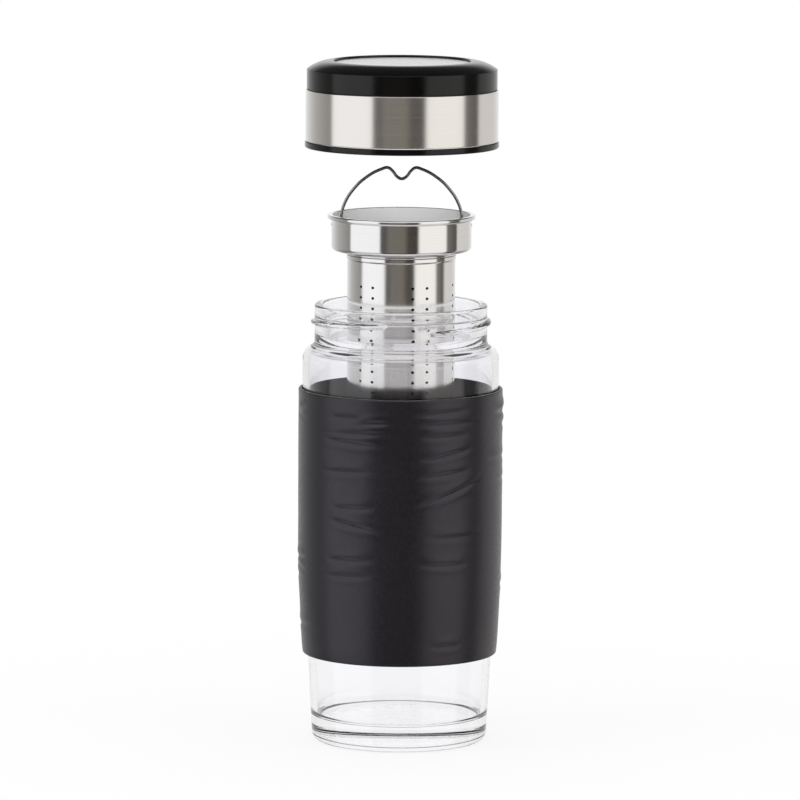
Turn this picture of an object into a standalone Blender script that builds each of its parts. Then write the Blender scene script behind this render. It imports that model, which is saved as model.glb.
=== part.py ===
"""Tea infuser mug: glass tumbler, silicone sleeve, steel infuser with a bail, and screw lid.

The pieces stand apart as they do when the mug is opened: the infuser is drawn half out of the
glass and the lid hangs above it. Lengths are in metres, +Z is up, and the origin is the middle
of the underside of the glass.
"""
import math

import bmesh
import bpy
from mathutils import Matrix, Vector

# General values
ROUND_SIDES = 40
HOLE_SIDES = 4
ARC_STEPS = 4
FIT_GAP = 0.0003
OVERRUN = 0.002
MERGE_DISTANCE = 0.000001

# Glass tumbler: body and floor
GLASS_HEIGHT = 0.1562
GLASS_RADIUS = 0.0348
GLASS_FOOT_INSET = 0.0037
GLASS_TAPER_TOP = 0.074
GLASS_HEEL_ROUND = 0.0036
GLASS_WALL = 0.0023
GLASS_FLOOR = 0.0090
GLASS_FLOOR_ROUND = 0.0060
GLASS_STANDING_WIDTH = 0.0106
PUNT_DEPTH = 0.0012
PUNT_SHARES = ((0.0, 1.0), (0.55, 0.85), (0.85, 0.45), (1.0, 0.0))

# Glass tumbler: shoulder, neck and the step inside the mouth
NECK_INSET = 0.0042
NECK_HEIGHT = 0.0130
NECK_FILLET = 0.0022
SHOULDER_ROUND = 0.0045
LIP_ROUND = 0.0009
LIP_WIDTH = 0.0030
STEP_DEPTH = 0.0047
STEP_THICKNESS = 0.0060
STEP_WIDTH = 0.0024

# Thread ridges on the neck, two starts, rising with the angle
THREAD_DEPTH = 0.0013
THREAD_HEIGHT = 0.0018
THREAD_CREST_SHARE = 0.45
THREAD_BURIED = 0.0008
THREAD_LEAD = 0.0070
THREAD_STARTS = 2
THREAD_SPAN = math.radians(154)
THREAD_GAP_MIDDLE = math.radians(5)
THREAD_DROP = 0.0078
THREAD_STEPS = 18

# Grip sleeve
SLEEVE_FOOT_Z = 0.0315
SLEEVE_TOP_DROP = 0.0300
SLEEVE_WALL = 0.0011
SLEEVE_FOOT_INSET = 0.0017
SLEEVE_TAPER = 0.0450
SLEEVE_EDGE_ROUND = 0.0005
SLEEVE_TAPER_STEPS = 6

# Infuser collar, measured from the underside of its rolled rim
INFUSER_RAISED = 0.0346
RIM_CLEAR = 0.0014
RIM_HEIGHT = 0.0016
RIM_ROUND = 0.0006
COLLAR_CLEAR = 0.0004
COLLAR_HEIGHT = 0.0128
COLLAR_EDGE_ROUND = 0.0016
SHEET = 0.0006

# Infuser tube and base
INFUSER_HEIGHT = 0.1050
TUBE_SIDES = 24
TUBE_SEAM_ANGLE = math.radians(5)
COLLAR_SHELF = 0.0057
TUBE_BEAD_PROUD = 0.0005
TUBE_BEAD_HEIGHT = 0.0012
TUBE_NECK_PROUD = 0.0003
TUBE_NECK_HEIGHT = 0.0017
TUBE_MOUTH_INSET = 0.0007
BASE_SPIGOT = 0.0030

# Holes in the infuser
HOLE_DIAMETER = 0.0012
HOLE_PAIRS = 6
HOLE_PAIR_START = math.radians(11.5)
HOLE_PAIR_SPREAD = math.radians(18)
HOLE_ROW_PITCH = 0.0037
HOLE_FIRST_ROW_DROP = 0.0245
HOLE_LAST_ROW_RISE = 0.0053
BASE_HOLE_RINGS = 2
BASE_HOLE_PITCH_SHARE = 0.341
BASE_HOLES_PER_RING = 6

# Bail, measured from the axis that its ends turn on
BAIL_WIRE = 0.0011
BAIL_HOLE_GAP = 0.00035
BAIL_AXIS_DROP = 0.0038
BAIL_HEIGHT = 0.02025
BAIL_INSET = 0.0035
BAIL_BEND = 0.0011
BAIL_BEND_SHARE = 0.3
BAIL_END_PROUD = 0.0001
BAIL_RESOLUTION = 2
BAIL_SHARES = (
    (1.0, 0.133),
    (0.955, 0.345),
    (0.80, 0.617),
    (0.56, 0.850),
    (0.33, 0.976),
    (0.232, 1.0),
    (0.150, 0.940),
    (0.080, 0.845),
    (0.0, 0.805),
)

# Lid, measured from its underside
LID_HEIGHT = 0.0307
LID_COVER = 0.0107
LID_RAISED = 0.0662
LID_SHUT_TURN = math.radians(60)
BAND_CLEAR = 0.00215
BAND_WALL = 0.0005
BASE_RING_PROUD = 0.00025
BASE_RING_HEIGHT = 0.0021
BASE_RING_ROUND = 0.0006

# Lid top ring and disc
TOP_RING_SHOWN = 0.0102
TOP_RING_INSET = 0.0004
TOP_SHOULDER_DROP = 0.00305
TOP_SHOULDER_WIDTH = 0.00905
TOP_CEILING_REACH = 0.0039
TOP_RING_WALL = 0.0017
TOP_RING_EDGE_ROUND = 0.0004
TOP_CREST_WIDTH = 0.0008
DISC_THICKNESS = 0.0008
DISC_RECESS = 0.0008

# Lid inner cap and gasket
CAP_SKIRT_WALL = 0.00095
CAP_DECK = 0.0015
CAP_CEILING = 0.0009
CAP_DOME_INSET = 0.0001
CAP_DOME_WALL = 0.0015
CAP_PLUG_WALL = 0.0009
CAP_PLUG_CLEAR = 0.0003
GASKET_THICKNESS = 0.0016
LUG_COUNT = 2
LUG_WIDTH = math.radians(20)
LUG_NECK_GAP = 0.00055
LUG_STEPS = 4

# Heights and radii that follow from the values above
GLASS_FOOT_RADIUS = GLASS_RADIUS - GLASS_FOOT_INSET
PUNT_RADIUS = GLASS_FOOT_RADIUS - GLASS_STANDING_WIDTH
NECK_RADIUS = GLASS_RADIUS - NECK_INSET
THREAD_RADIUS = NECK_RADIUS + THREAD_DEPTH
THREAD_LOW_Z = GLASS_HEIGHT - THREAD_DROP
STEP_RADIUS = NECK_RADIUS - LIP_WIDTH
MOUTH_RADIUS = STEP_RADIUS - STEP_WIDTH
STEP_Z = GLASS_HEIGHT - STEP_DEPTH
SLEEVE_TOP_Z = GLASS_HEIGHT - SLEEVE_TOP_DROP
SLEEVE_RADIUS = GLASS_RADIUS + FIT_GAP + SLEEVE_WALL
SLEEVE_FOOT_RADIUS = SLEEVE_RADIUS - SLEEVE_FOOT_INSET
RIM_RADIUS = STEP_RADIUS - RIM_CLEAR
COLLAR_RADIUS = MOUTH_RADIUS - COLLAR_CLEAR
RIM_SHUT_Z = STEP_Z + FIT_GAP
RIM_REST_Z = RIM_SHUT_Z + INFUSER_RAISED
LID_SHUT_Z = GLASS_HEIGHT - LID_COVER
LID_REST_Z = LID_SHUT_Z + LID_RAISED
BAND_RADIUS = THREAD_RADIUS + BAND_CLEAR
BAND_TOP = LID_HEIGHT - TOP_RING_SHOWN
BASE_RING_RADIUS = BAND_RADIUS + BASE_RING_PROUD
TOP_RING_RADIUS = BAND_RADIUS - TOP_RING_INSET
TOP_RING_SIDE_TOP = LID_HEIGHT - TOP_SHOULDER_DROP
TOP_CREST_RADIUS = TOP_RING_RADIUS - TOP_SHOULDER_WIDTH
DISC_RADIUS = TOP_CREST_RADIUS - TOP_CREST_WIDTH
BAND_FOOT = BASE_RING_HEIGHT + FIT_GAP
CAP_RADIUS = BAND_RADIUS - BAND_WALL - FIT_GAP
CAP_SKIRT_INNER = CAP_RADIUS - CAP_SKIRT_WALL
GASKET_FOOT = LID_COVER + FIT_GAP
DECK_FOOT = GASKET_FOOT + GASKET_THICKNESS + FIT_GAP
DECK_TOP = DECK_FOOT + CAP_DECK
DISC_TOP = LID_HEIGHT - DISC_RECESS
DISC_FOOT = DISC_TOP - DISC_THICKNESS
CEILING_TOP = DISC_FOOT - FIT_GAP
CEILING_FOOT = CEILING_TOP - CAP_CEILING
CAP_DOME_RADIUS = STEP_RADIUS - CAP_DOME_INSET
DOME_INNER = CAP_DOME_RADIUS - CAP_DOME_WALL
PLUG_RADIUS = DOME_INNER + CAP_PLUG_WALL
COLLAR_FOOT = RIM_HEIGHT - COLLAR_HEIGHT
TUBE_TOP = COLLAR_FOOT - FIT_GAP
TUBE_RADIUS = COLLAR_RADIUS - COLLAR_SHELF
TUBE_BEAD_RADIUS = TUBE_RADIUS + TUBE_BEAD_PROUD
TUBE_NECK_RADIUS = TUBE_RADIUS + TUBE_NECK_PROUD
TUBE_INNER = TUBE_RADIUS - SHEET
INFUSER_FOOT = RIM_HEIGHT - INFUSER_HEIGHT
TUBE_FOOT = INFUSER_FOOT + SHEET + FIT_GAP
SPIGOT_RADIUS = TUBE_INNER - FIT_GAP
HOLE_ROWS = 1 + math.floor((INFUSER_HEIGHT - HOLE_FIRST_ROW_DROP - HOLE_LAST_ROW_RISE) / HOLE_ROW_PITCH)
BASE_HOLE_RING_PITCH = (SPIGOT_RADIUS - SHEET) * BASE_HOLE_PITCH_SHARE
BAIL_AXIS_Z = RIM_HEIGHT - BAIL_AXIS_DROP
BAIL_HALF_WIDTH = COLLAR_RADIUS - BAIL_INSET


def clear_scene():
    """Remove the objects that a new file starts with."""
    for thing in list(bpy.data.objects):
        bpy.data.objects.remove(thing, do_unlink=True)


def principled(name, colour, roughness, metallic=0.0, transmission=0.0):
    """Return a Principled material of one plain finish."""
    material = bpy.data.materials.new(name)
    material.use_nodes = True
    material.diffuse_color = (*colour, 1.0)
    shader = material.node_tree.nodes["Principled BSDF"]
    shader.inputs["Base Color"].default_value = (*colour, 1.0)
    shader.inputs["Roughness"].default_value = roughness
    shader.inputs["Metallic"].default_value = metallic
    shader.inputs["Transmission Weight"].default_value = transmission
    return material


def arc(middle, radii, start, end, steps=ARC_STEPS):
    """Return points (radius, height) along an arc of an ellipse, both ends included."""
    points = []
    for step in range(steps + 1):
        angle = math.radians(start + (end - start) * step / steps)
        points.append((middle[0] + radii[0] * math.cos(angle), middle[1] + radii[1] * math.sin(angle)))
    return points


def around(radius, angle, height=0.0):
    """Return the point at an angle measured from the front of the mug towards +X."""
    return Vector((radius * math.sin(angle), -radius * math.cos(angle), height))


def add_object(name, mesh, material, parent=None):
    """Put a mesh in the scene as a named object under its parent."""
    thing = bpy.data.objects.new(name, mesh)
    bpy.context.scene.collection.objects.link(thing)
    if material is not None:
        mesh.materials.append(material)
    thing.parent = parent
    return thing


def finish_mesh(name, shape):
    """Turn a closed bmesh into a smooth mesh whose faces point out."""
    bmesh.ops.remove_doubles(shape, verts=shape.verts, dist=MERGE_DISTANCE)
    bmesh.ops.recalc_face_normals(shape, faces=shape.faces)
    mesh = bpy.data.meshes.new(name)
    shape.to_mesh(mesh)
    shape.free()
    mesh.shade_smooth()
    mesh.set_sharp_from_angle(angle=math.radians(35))
    return mesh


def turned(name, outline, material, parent=None, sides=ROUND_SIDES, seam=0.0):
    """Turn an outline of (radius, height) points round the Z axis, starting at the seam's angle."""
    shape = bmesh.new()
    direction = around(1.0, seam)
    corners = [shape.verts.new(direction * radius + Vector((0, 0, height))) for radius, height in outline]
    edges = [shape.edges.new((corners[i - 1], corners[i])) for i in range(len(corners))]
    bmesh.ops.spin(
        shape, geom=corners + edges, cent=(0, 0, 0), axis=(0, 0, 1),
        angle=math.tau, steps=sides, use_merge=True,
    )
    return add_object(name, finish_mesh(name, shape), material, parent)


def swept(name, outline, start, span, rise, steps):
    """Sweep a closed outline round the Z axis from a start angle, rising evenly, with flat ends."""
    shape = bmesh.new()
    direction = around(1.0, start)
    corners = [shape.verts.new(direction * radius + Vector((0, 0, height))) for radius, height in outline]
    edges = [shape.edges.new((corners[i - 1], corners[i])) for i in range(len(corners))]
    bmesh.ops.spin(
        shape, geom=corners + edges, cent=(0, 0, 0), axis=(0, 0, 1), dvec=(0, 0, rise / steps),
        angle=span, steps=steps,
    )
    bmesh.ops.holes_fill(shape, edges=[edge for edge in shape.edges if edge.is_boundary])
    return add_object(name, finish_mesh(name, shape), None)


def as_cutter(thing, parent=None):
    """Mark an object as a tool that shapes another one and isn't a piece itself."""
    thing.hide_render = True
    thing.display_type = 'WIRE'
    thing.parent = parent
    return thing


def combine(thing, tool, operation):
    """Join a tool to a piece, or cut it out of the piece."""
    modifier = thing.modifiers.new(tool.name, 'BOOLEAN')
    modifier.object = tool
    modifier.operation = operation
    modifier.solver = 'EXACT'


def empty(name, height, parent=None):
    """Add an empty on the axis of a moving assembly."""
    holder = bpy.data.objects.new(name, None)
    bpy.context.scene.collection.objects.link(holder)
    holder.location = (0, 0, height)
    holder.parent = parent
    return holder


def glass_radius(height):
    """Return the outer radius of the glass below its shoulder."""
    share = min(1.0, max(0.0, (height - GLASS_HEEL_ROUND) / (GLASS_TAPER_TOP - GLASS_HEEL_ROUND)))
    return GLASS_FOOT_RADIUS + (GLASS_RADIUS - GLASS_FOOT_RADIUS) * share


def shoulder_arcs():
    """Return the centre of the shoulder's round and the angle at which the neck's fillet meets it."""
    across = NECK_RADIUS + NECK_FILLET - (GLASS_RADIUS - SHOULDER_ROUND)
    reach = SHOULDER_ROUND + NECK_FILLET
    up = math.sqrt(reach ** 2 - across ** 2)
    neck_foot = GLASS_HEIGHT - NECK_HEIGHT
    return (GLASS_RADIUS - SHOULDER_ROUND, neck_foot - up), math.degrees(math.atan2(up, across))


def glass_outline():
    """Return the section of the glass, up its outside and down its inside."""
    shoulder, meeting = shoulder_arcs()
    fillet = (NECK_RADIUS + NECK_FILLET, GLASS_HEIGHT - NECK_HEIGHT)
    floor_edge = GLASS_FLOOR + GLASS_FLOOR_ROUND
    inner_foot = glass_radius(floor_edge) - GLASS_WALL
    points = [(PUNT_RADIUS * out, PUNT_DEPTH * up) for out, up in PUNT_SHARES]
    points += arc((GLASS_FOOT_RADIUS - GLASS_HEEL_ROUND, GLASS_HEEL_ROUND), (GLASS_HEEL_ROUND,) * 2, -90, 0)
    points += [(GLASS_RADIUS, GLASS_TAPER_TOP)]
    points += arc(shoulder, (SHOULDER_ROUND,) * 2, 0, meeting)
    points += arc(fillet, (NECK_FILLET,) * 2, 180 + meeting, 180)[1:]
    points += arc((NECK_RADIUS - LIP_ROUND, GLASS_HEIGHT - LIP_ROUND), (LIP_ROUND,) * 2, 0, 90, 3)
    points += arc((STEP_RADIUS + LIP_ROUND, GLASS_HEIGHT - LIP_ROUND), (LIP_ROUND,) * 2, 90, 180, 3)
    points += [(STEP_RADIUS, STEP_Z), (MOUTH_RADIUS, STEP_Z), (MOUTH_RADIUS, STEP_Z - STEP_THICKNESS)]
    points += arc(shoulder, (SHOULDER_ROUND - GLASS_WALL,) * 2, meeting, 0, 3)
    points += [(GLASS_RADIUS - GLASS_WALL, GLASS_TAPER_TOP)]
    points += arc((inner_foot - GLASS_FLOOR_ROUND, floor_edge), (GLASS_FLOOR_ROUND,) * 2, 0, -90, 5)
    points += [(0.0, GLASS_FLOOR)]
    return points


def thread_height(angle, start):
    """Return the height of the middle of the ridge that starts at one angle, above another angle."""
    return THREAD_LOW_Z + THREAD_LEAD * (angle - start) / math.tau


def thread_starts():
    """Return the angles at which the low ends of the ridges lie."""
    gap = math.tau / THREAD_STARTS - THREAD_SPAN
    return [THREAD_GAP_MIDDLE + gap / 2 + math.tau * i / THREAD_STARTS for i in range(THREAD_STARTS)]


def make_glass(material):
    """Make the tumbler with its thread ridges."""
    tumbler = turned("glass_tumbler", glass_outline(), material)
    half = THREAD_HEIGHT / 2
    crest = half * THREAD_CREST_SHARE
    ridge = (
        (NECK_RADIUS - THREAD_BURIED, THREAD_LOW_Z - half),
        (NECK_RADIUS, THREAD_LOW_Z - half),
        (THREAD_RADIUS, THREAD_LOW_Z - crest),
        (THREAD_RADIUS, THREAD_LOW_Z + crest),
        (NECK_RADIUS, THREAD_LOW_Z + half),
        (NECK_RADIUS - THREAD_BURIED, THREAD_LOW_Z + half),
    )
    rise = THREAD_LEAD * THREAD_SPAN / math.tau
    for number, start in enumerate(thread_starts()):
        tool = swept(f"thread_ridge_{number}", ridge, start, THREAD_SPAN, rise, THREAD_STEPS)
        combine(tumbler, as_cutter(tool), 'UNION')
    return tumbler


def sleeve_radius(height):
    """Return the outer radius of the sleeve, drawn in towards its foot."""
    share = min(1.0, (height - SLEEVE_FOOT_Z) / SLEEVE_TAPER)
    return SLEEVE_RADIUS - (SLEEVE_RADIUS - SLEEVE_FOOT_RADIUS) * (1.0 - share) ** 2


def make_sleeve(material):
    """Make the silicone sleeve that is stretched over the glass."""
    edge = SLEEVE_EDGE_ROUND
    outline = [(glass_radius(SLEEVE_FOOT_Z) + FIT_GAP, SLEEVE_FOOT_Z)]
    outline += arc((SLEEVE_FOOT_RADIUS - edge, SLEEVE_FOOT_Z + edge), (edge, edge), -90, 0, 2)
    for step in range(1, SLEEVE_TAPER_STEPS + 1):
        height = SLEEVE_FOOT_Z + SLEEVE_TAPER * step / SLEEVE_TAPER_STEPS
        outline.append((sleeve_radius(height), height))
    outline += arc((SLEEVE_RADIUS - edge, SLEEVE_TOP_Z - edge), (edge, edge), 0, 90, 2)
    outline += [(GLASS_RADIUS + FIT_GAP, SLEEVE_TOP_Z), (GLASS_RADIUS + FIT_GAP, GLASS_TAPER_TOP)]
    return turned("grip_sleeve", outline, material)


def make_collar(material, parent):
    """Make the collar: rolled rim, wall with a hole at each side for the bail, and flange."""
    bend = COLLAR_EDGE_ROUND
    inner_bend = bend - SHEET
    wall = COLLAR_RADIUS - SHEET
    outline = [(TUBE_INNER - TUBE_MOUTH_INSET, COLLAR_FOOT)]
    outline += arc((COLLAR_RADIUS - bend, COLLAR_FOOT + bend), (bend, bend), -90, 0, 3)
    outline += [(COLLAR_RADIUS, 0.0)]
    outline += arc((RIM_RADIUS - RIM_ROUND, RIM_ROUND), (RIM_ROUND,) * 2, -90, 0, 2)
    outline += arc((RIM_RADIUS - RIM_ROUND, RIM_HEIGHT - RIM_ROUND), (RIM_ROUND,) * 2, 0, 90, 2)
    outline += arc((wall + RIM_ROUND, RIM_HEIGHT - RIM_ROUND), (RIM_ROUND,) * 2, 90, 180, 2)
    outline += arc((wall - inner_bend, COLLAR_FOOT + bend), (inner_bend,) * 2, 0, -90, 2)
    outline += [(TUBE_INNER - TUBE_MOUTH_INSET, COLLAR_FOOT + SHEET)]
    collar = turned("infuser_collar", outline, material, parent)

    shape = bmesh.new()
    hole = BAIL_WIRE / 2 + BAIL_HOLE_GAP
    along_x = Matrix.Translation((0, 0, BAIL_AXIS_Z)) @ Matrix.Rotation(math.pi / 2, 4, 'Y')
    bmesh.ops.create_cone(
        shape, cap_ends=True, segments=12, radius1=hole, radius2=hole,
        depth=2 * (COLLAR_RADIUS + OVERRUN), matrix=along_x,
    )
    cutter = add_object("bail_hole_cutter", finish_mesh("bail_hole_cutter", shape), None)
    combine(collar, as_cutter(cutter, parent), 'DIFFERENCE')
    return collar


def add_drill(shape, matrix, length):
    """Add one prism of the drill that makes a small hole."""
    bmesh.ops.create_cone(
        shape, cap_ends=True, segments=HOLE_SIDES, radius1=HOLE_DIAMETER / 2,
        radius2=HOLE_DIAMETER / 2, depth=length, matrix=matrix,
    )


def make_tube(material, parent):
    """Make the perforated tube with the bead at its top."""
    bead_foot = TUBE_TOP - TUBE_BEAD_HEIGHT
    neck_foot = bead_foot - TUBE_NECK_HEIGHT
    bead = TUBE_BEAD_HEIGHT / 2
    outline = [(TUBE_INNER, TUBE_FOOT), (TUBE_RADIUS, TUBE_FOOT), (TUBE_RADIUS, neck_foot)]
    outline += [(TUBE_NECK_RADIUS, neck_foot + SHEET), (TUBE_NECK_RADIUS, bead_foot)]
    outline += arc((TUBE_BEAD_RADIUS - bead, TUBE_TOP - bead), (bead, bead), -90, 90, 3)
    outline += [(TUBE_INNER, TUBE_TOP)]
    tube = turned("infuser_tube", outline, material, parent, TUBE_SIDES, TUBE_SEAM_ANGLE)

    shape = bmesh.new()
    for pair in range(HOLE_PAIRS):
        for side in range(2):
            angle = HOLE_PAIR_START + HOLE_PAIR_SPREAD * side + math.tau * pair / HOLE_PAIRS
            for row in range(HOLE_ROWS):
                height = RIM_HEIGHT - HOLE_FIRST_ROW_DROP - HOLE_ROW_PITCH * row
                place = Matrix.Translation(around(TUBE_RADIUS - SHEET / 2, angle, height))
                outward = around(1.0, angle).to_track_quat('Z', 'Y').to_matrix().to_4x4()
                add_drill(shape, place @ outward, SHEET + OVERRUN)
    drills = add_object("tube_drills", finish_mesh("tube_drills", shape), None)
    combine(tube, as_cutter(drills, parent), 'DIFFERENCE')
    return tube


def make_base(material, parent):
    """Make the perforated cap under the tube."""
    inner = SPIGOT_RADIUS - SHEET
    outline = [(0.0, INFUSER_FOOT)]
    outline += arc((TUBE_RADIUS - SHEET, INFUSER_FOOT + SHEET), (SHEET, SHEET), -90, 0, 2)
    outline += [(SPIGOT_RADIUS, INFUSER_FOOT + SHEET), (SPIGOT_RADIUS, TUBE_FOOT + BASE_SPIGOT)]
    outline += [(inner, TUBE_FOOT + BASE_SPIGOT), (inner, INFUSER_FOOT + SHEET), (0.0, INFUSER_FOOT + SHEET)]
    base = turned("infuser_base", outline, material, parent)

    shape = bmesh.new()
    for ring in range(BASE_HOLE_RINGS + 1):
        count = max(1, BASE_HOLES_PER_RING * ring)
        for number in range(count):
            spot = around(BASE_HOLE_RING_PITCH * ring, math.tau * number / count, INFUSER_FOOT + SHEET / 2)
            add_drill(shape, Matrix.Translation(spot), SHEET + OVERRUN)
    drills = add_object("base_drills", finish_mesh("base_drills", shape), None)
    combine(base, as_cutter(drills, parent), 'DIFFERENCE')
    return base


def bail_route():
    """Return the wire's route in the plane of the bail, from one end to the other."""
    end = COLLAR_RADIUS + BAIL_END_PROUD
    half = [(end, 0.0), (BAIL_HALF_WIDTH + BAIL_BEND, 0.0)]
    inside = BAIL_BEND * BAIL_BEND_SHARE
    half += [(BAIL_HALF_WIDTH + inside, inside), (BAIL_HALF_WIDTH, BAIL_BEND)]
    half += [(BAIL_HALF_WIDTH * across, BAIL_HEIGHT * up) for across, up in BAIL_SHARES]
    return half + [(-across, up) for across, up in reversed(half[:-1])]


def make_bail(material, parent):
    """Make the bail as one bent wire."""
    curve = bpy.data.curves.new("bail_handle", 'CURVE')
    curve.dimensions = '3D'
    curve.bevel_depth = BAIL_WIRE / 2
    curve.bevel_resolution = 2
    curve.use_fill_caps = True
    curve.resolution_u = BAIL_RESOLUTION
    route = bail_route()
    spline = curve.splines.new('BEZIER')
    spline.bezier_points.add(len(route) - 1)
    for point, (across, up) in zip(spline.bezier_points, route):
        point.co = (across, 0.0, up)
        point.handle_left_type = 'AUTO'
        point.handle_right_type = 'AUTO'
    return add_object("bail_handle", curve, material, parent)


def make_gasket(material, parent):
    """Make the seal that lies on the lip of the glass."""
    inner = PLUG_RADIUS + FIT_GAP
    outer = CAP_SKIRT_INNER - FIT_GAP
    top = GASKET_FOOT + GASKET_THICKNESS
    outline = ((inner, GASKET_FOOT), (outer, GASKET_FOOT), (outer, top), (inner, top))
    return turned("lid_gasket", outline, material, parent)


def lug_heights():
    """Return the underside and top of the lugs, clear of the ridge that they turn under."""
    entry = THREAD_GAP_MIDDLE + math.tau
    ridge_start = thread_starts()[-1]
    trailing = entry - LID_SHUT_TURN - LUG_WIDTH / 2
    flank = thread_height(trailing, ridge_start) - THREAD_HEIGHT / 2
    return BAND_FOOT, flank - FIT_GAP - LID_SHUT_Z


def make_cap(material, parent):
    """Make the moulded cap: skirt with lugs, deck, plug wall and dome."""
    plug_foot = GASKET_FOOT + CAP_PLUG_CLEAR
    outline = (
        (CAP_SKIRT_INNER, BAND_FOOT),
        (CAP_RADIUS, BAND_FOOT),
        (CAP_RADIUS, DECK_TOP),
        (CAP_DOME_RADIUS, DECK_TOP),
        (CAP_DOME_RADIUS, CEILING_TOP),
        (0.0, CEILING_TOP),
        (0.0, CEILING_FOOT),
        (DOME_INNER, CEILING_FOOT),
        (DOME_INNER, plug_foot),
        (PLUG_RADIUS, plug_foot),
        (PLUG_RADIUS, DECK_FOOT),
        (CAP_SKIRT_INNER, DECK_FOOT),
    )
    cap = turned("lid_inner_cap", outline, material, parent)
    foot, top = lug_heights()
    inner = NECK_RADIUS + LUG_NECK_GAP
    outer = CAP_SKIRT_INNER + CAP_SKIRT_WALL / 2
    section = ((inner, foot), (outer, foot), (outer, top), (inner, top))
    for number in range(LUG_COUNT):
        start = THREAD_GAP_MIDDLE - LUG_WIDTH / 2 + math.tau * number / LUG_COUNT
        lug = swept(f"cap_lug_{number}", section, start, LUG_WIDTH, 0.0, LUG_STEPS)
        combine(cap, as_cutter(lug, parent), 'UNION')
    return cap


def make_band(material, parent):
    """Make the steel band round the lid."""
    inner = BAND_RADIUS - BAND_WALL
    outline = ((inner, BAND_FOOT), (BAND_RADIUS, BAND_FOOT), (BAND_RADIUS, BAND_TOP), (inner, BAND_TOP))
    return turned("lid_steel_band", outline, material, parent)


def make_base_ring(material, parent):
    """Make the thin ring under the band."""
    edge = BASE_RING_ROUND
    outline = [(CAP_SKIRT_INNER, 0.0)]
    outline += arc((BASE_RING_RADIUS - edge, edge), (edge, edge), -90, 0, 2)
    outline += [(BASE_RING_RADIUS, BASE_RING_HEIGHT), (CAP_SKIRT_INNER, BASE_RING_HEIGHT)]
    return turned("lid_base_ring", outline, material, parent)


def make_top_ring(material, parent):
    """Make the domed ring on top of the lid, a shell whose spigot stands in the band."""
    spigot_foot = DECK_TOP + FIT_GAP
    side_foot = BAND_TOP + FIT_GAP
    shell = CAP_RADIUS - TOP_RING_WALL
    bulge = (TOP_SHOULDER_WIDTH ** 2 + TOP_SHOULDER_DROP ** 2) / (2 * TOP_SHOULDER_DROP)
    reach = math.degrees(math.asin(TOP_SHOULDER_WIDTH / bulge))
    edge = TOP_RING_EDGE_ROUND
    opening = DISC_RADIUS + FIT_GAP
    outline = [(shell, spigot_foot), (CAP_RADIUS, spigot_foot), (CAP_RADIUS, side_foot)]
    outline += [(TOP_RING_RADIUS, side_foot)]
    outline += arc((TOP_CREST_RADIUS, LID_HEIGHT - bulge), (bulge, bulge), 90 - reach, 90, 6)
    outline += arc((opening + edge, LID_HEIGHT - edge), (edge, edge), 90, 180, 2)
    outline += [(opening, DISC_FOOT), (TOP_CREST_RADIUS + TOP_CEILING_REACH, DISC_FOOT)]
    outline += [(shell, TOP_RING_SIDE_TOP)]
    return turned("lid_top_ring", outline, material, parent)


def make_disc(material, parent):
    """Make the disc set into the top ring."""
    outline = ((0.0, DISC_FOOT), (DISC_RADIUS, DISC_FOOT), (DISC_RADIUS, DISC_TOP), (0.0, DISC_TOP))
    return turned("lid_top_disc", outline, material, parent)


def main():
    """Build every piece of the mug."""
    clear_scene()
    glass = principled("clear_glass", (0.93, 0.95, 0.95), 0.02, transmission=1.0)
    silicone = principled("dark_silicone", (0.035, 0.033, 0.036), 0.6)
    steel = principled("polished_steel", (0.62, 0.61, 0.59), 0.18, metallic=1.0)
    brushed = principled("brushed_steel", (0.60, 0.58, 0.55), 0.32, metallic=1.0)
    plastic = principled("black_plastic", (0.012, 0.012, 0.013), 0.35)
    seal = principled("clear_silicone", (0.75, 0.75, 0.73), 0.5)

    make_glass(glass)
    make_sleeve(silicone)

    infuser = empty("infuser_lift", RIM_REST_Z)
    make_collar(steel, infuser)
    make_tube(steel, infuser)
    make_base(steel, infuser)
    swing = empty("bail_swing", BAIL_AXIS_Z, infuser)
    make_bail(steel, swing)

    lid = empty("lid_lift", LID_REST_Z)
    make_gasket(seal, lid)
    make_cap(plastic, lid)
    make_band(brushed, lid)
    make_base_ring(plastic, lid)
    make_top_ring(plastic, lid)
    make_disc(brushed, lid)


main()
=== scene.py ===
"""Looks of the tea infuser mug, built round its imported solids.

The mug stands open: the steel infuser hangs half out of the glass by no more than its own slide,
and the lid floats above it. Each sub-assembly is a class that holds its sizes in metres and builds
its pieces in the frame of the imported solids, +Z up, with the middle of the glass's foot at zero.
Angles round the mug are measured from its front, -Y, towards +X.
"""
from __future__ import annotations

import logging
import math
import random
from collections.abc import Callable, Sequence
from dataclasses import dataclass
from enum import Enum
from functools import cache

import bmesh
import bpy
from mathutils import Matrix, Vector, noise

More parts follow.
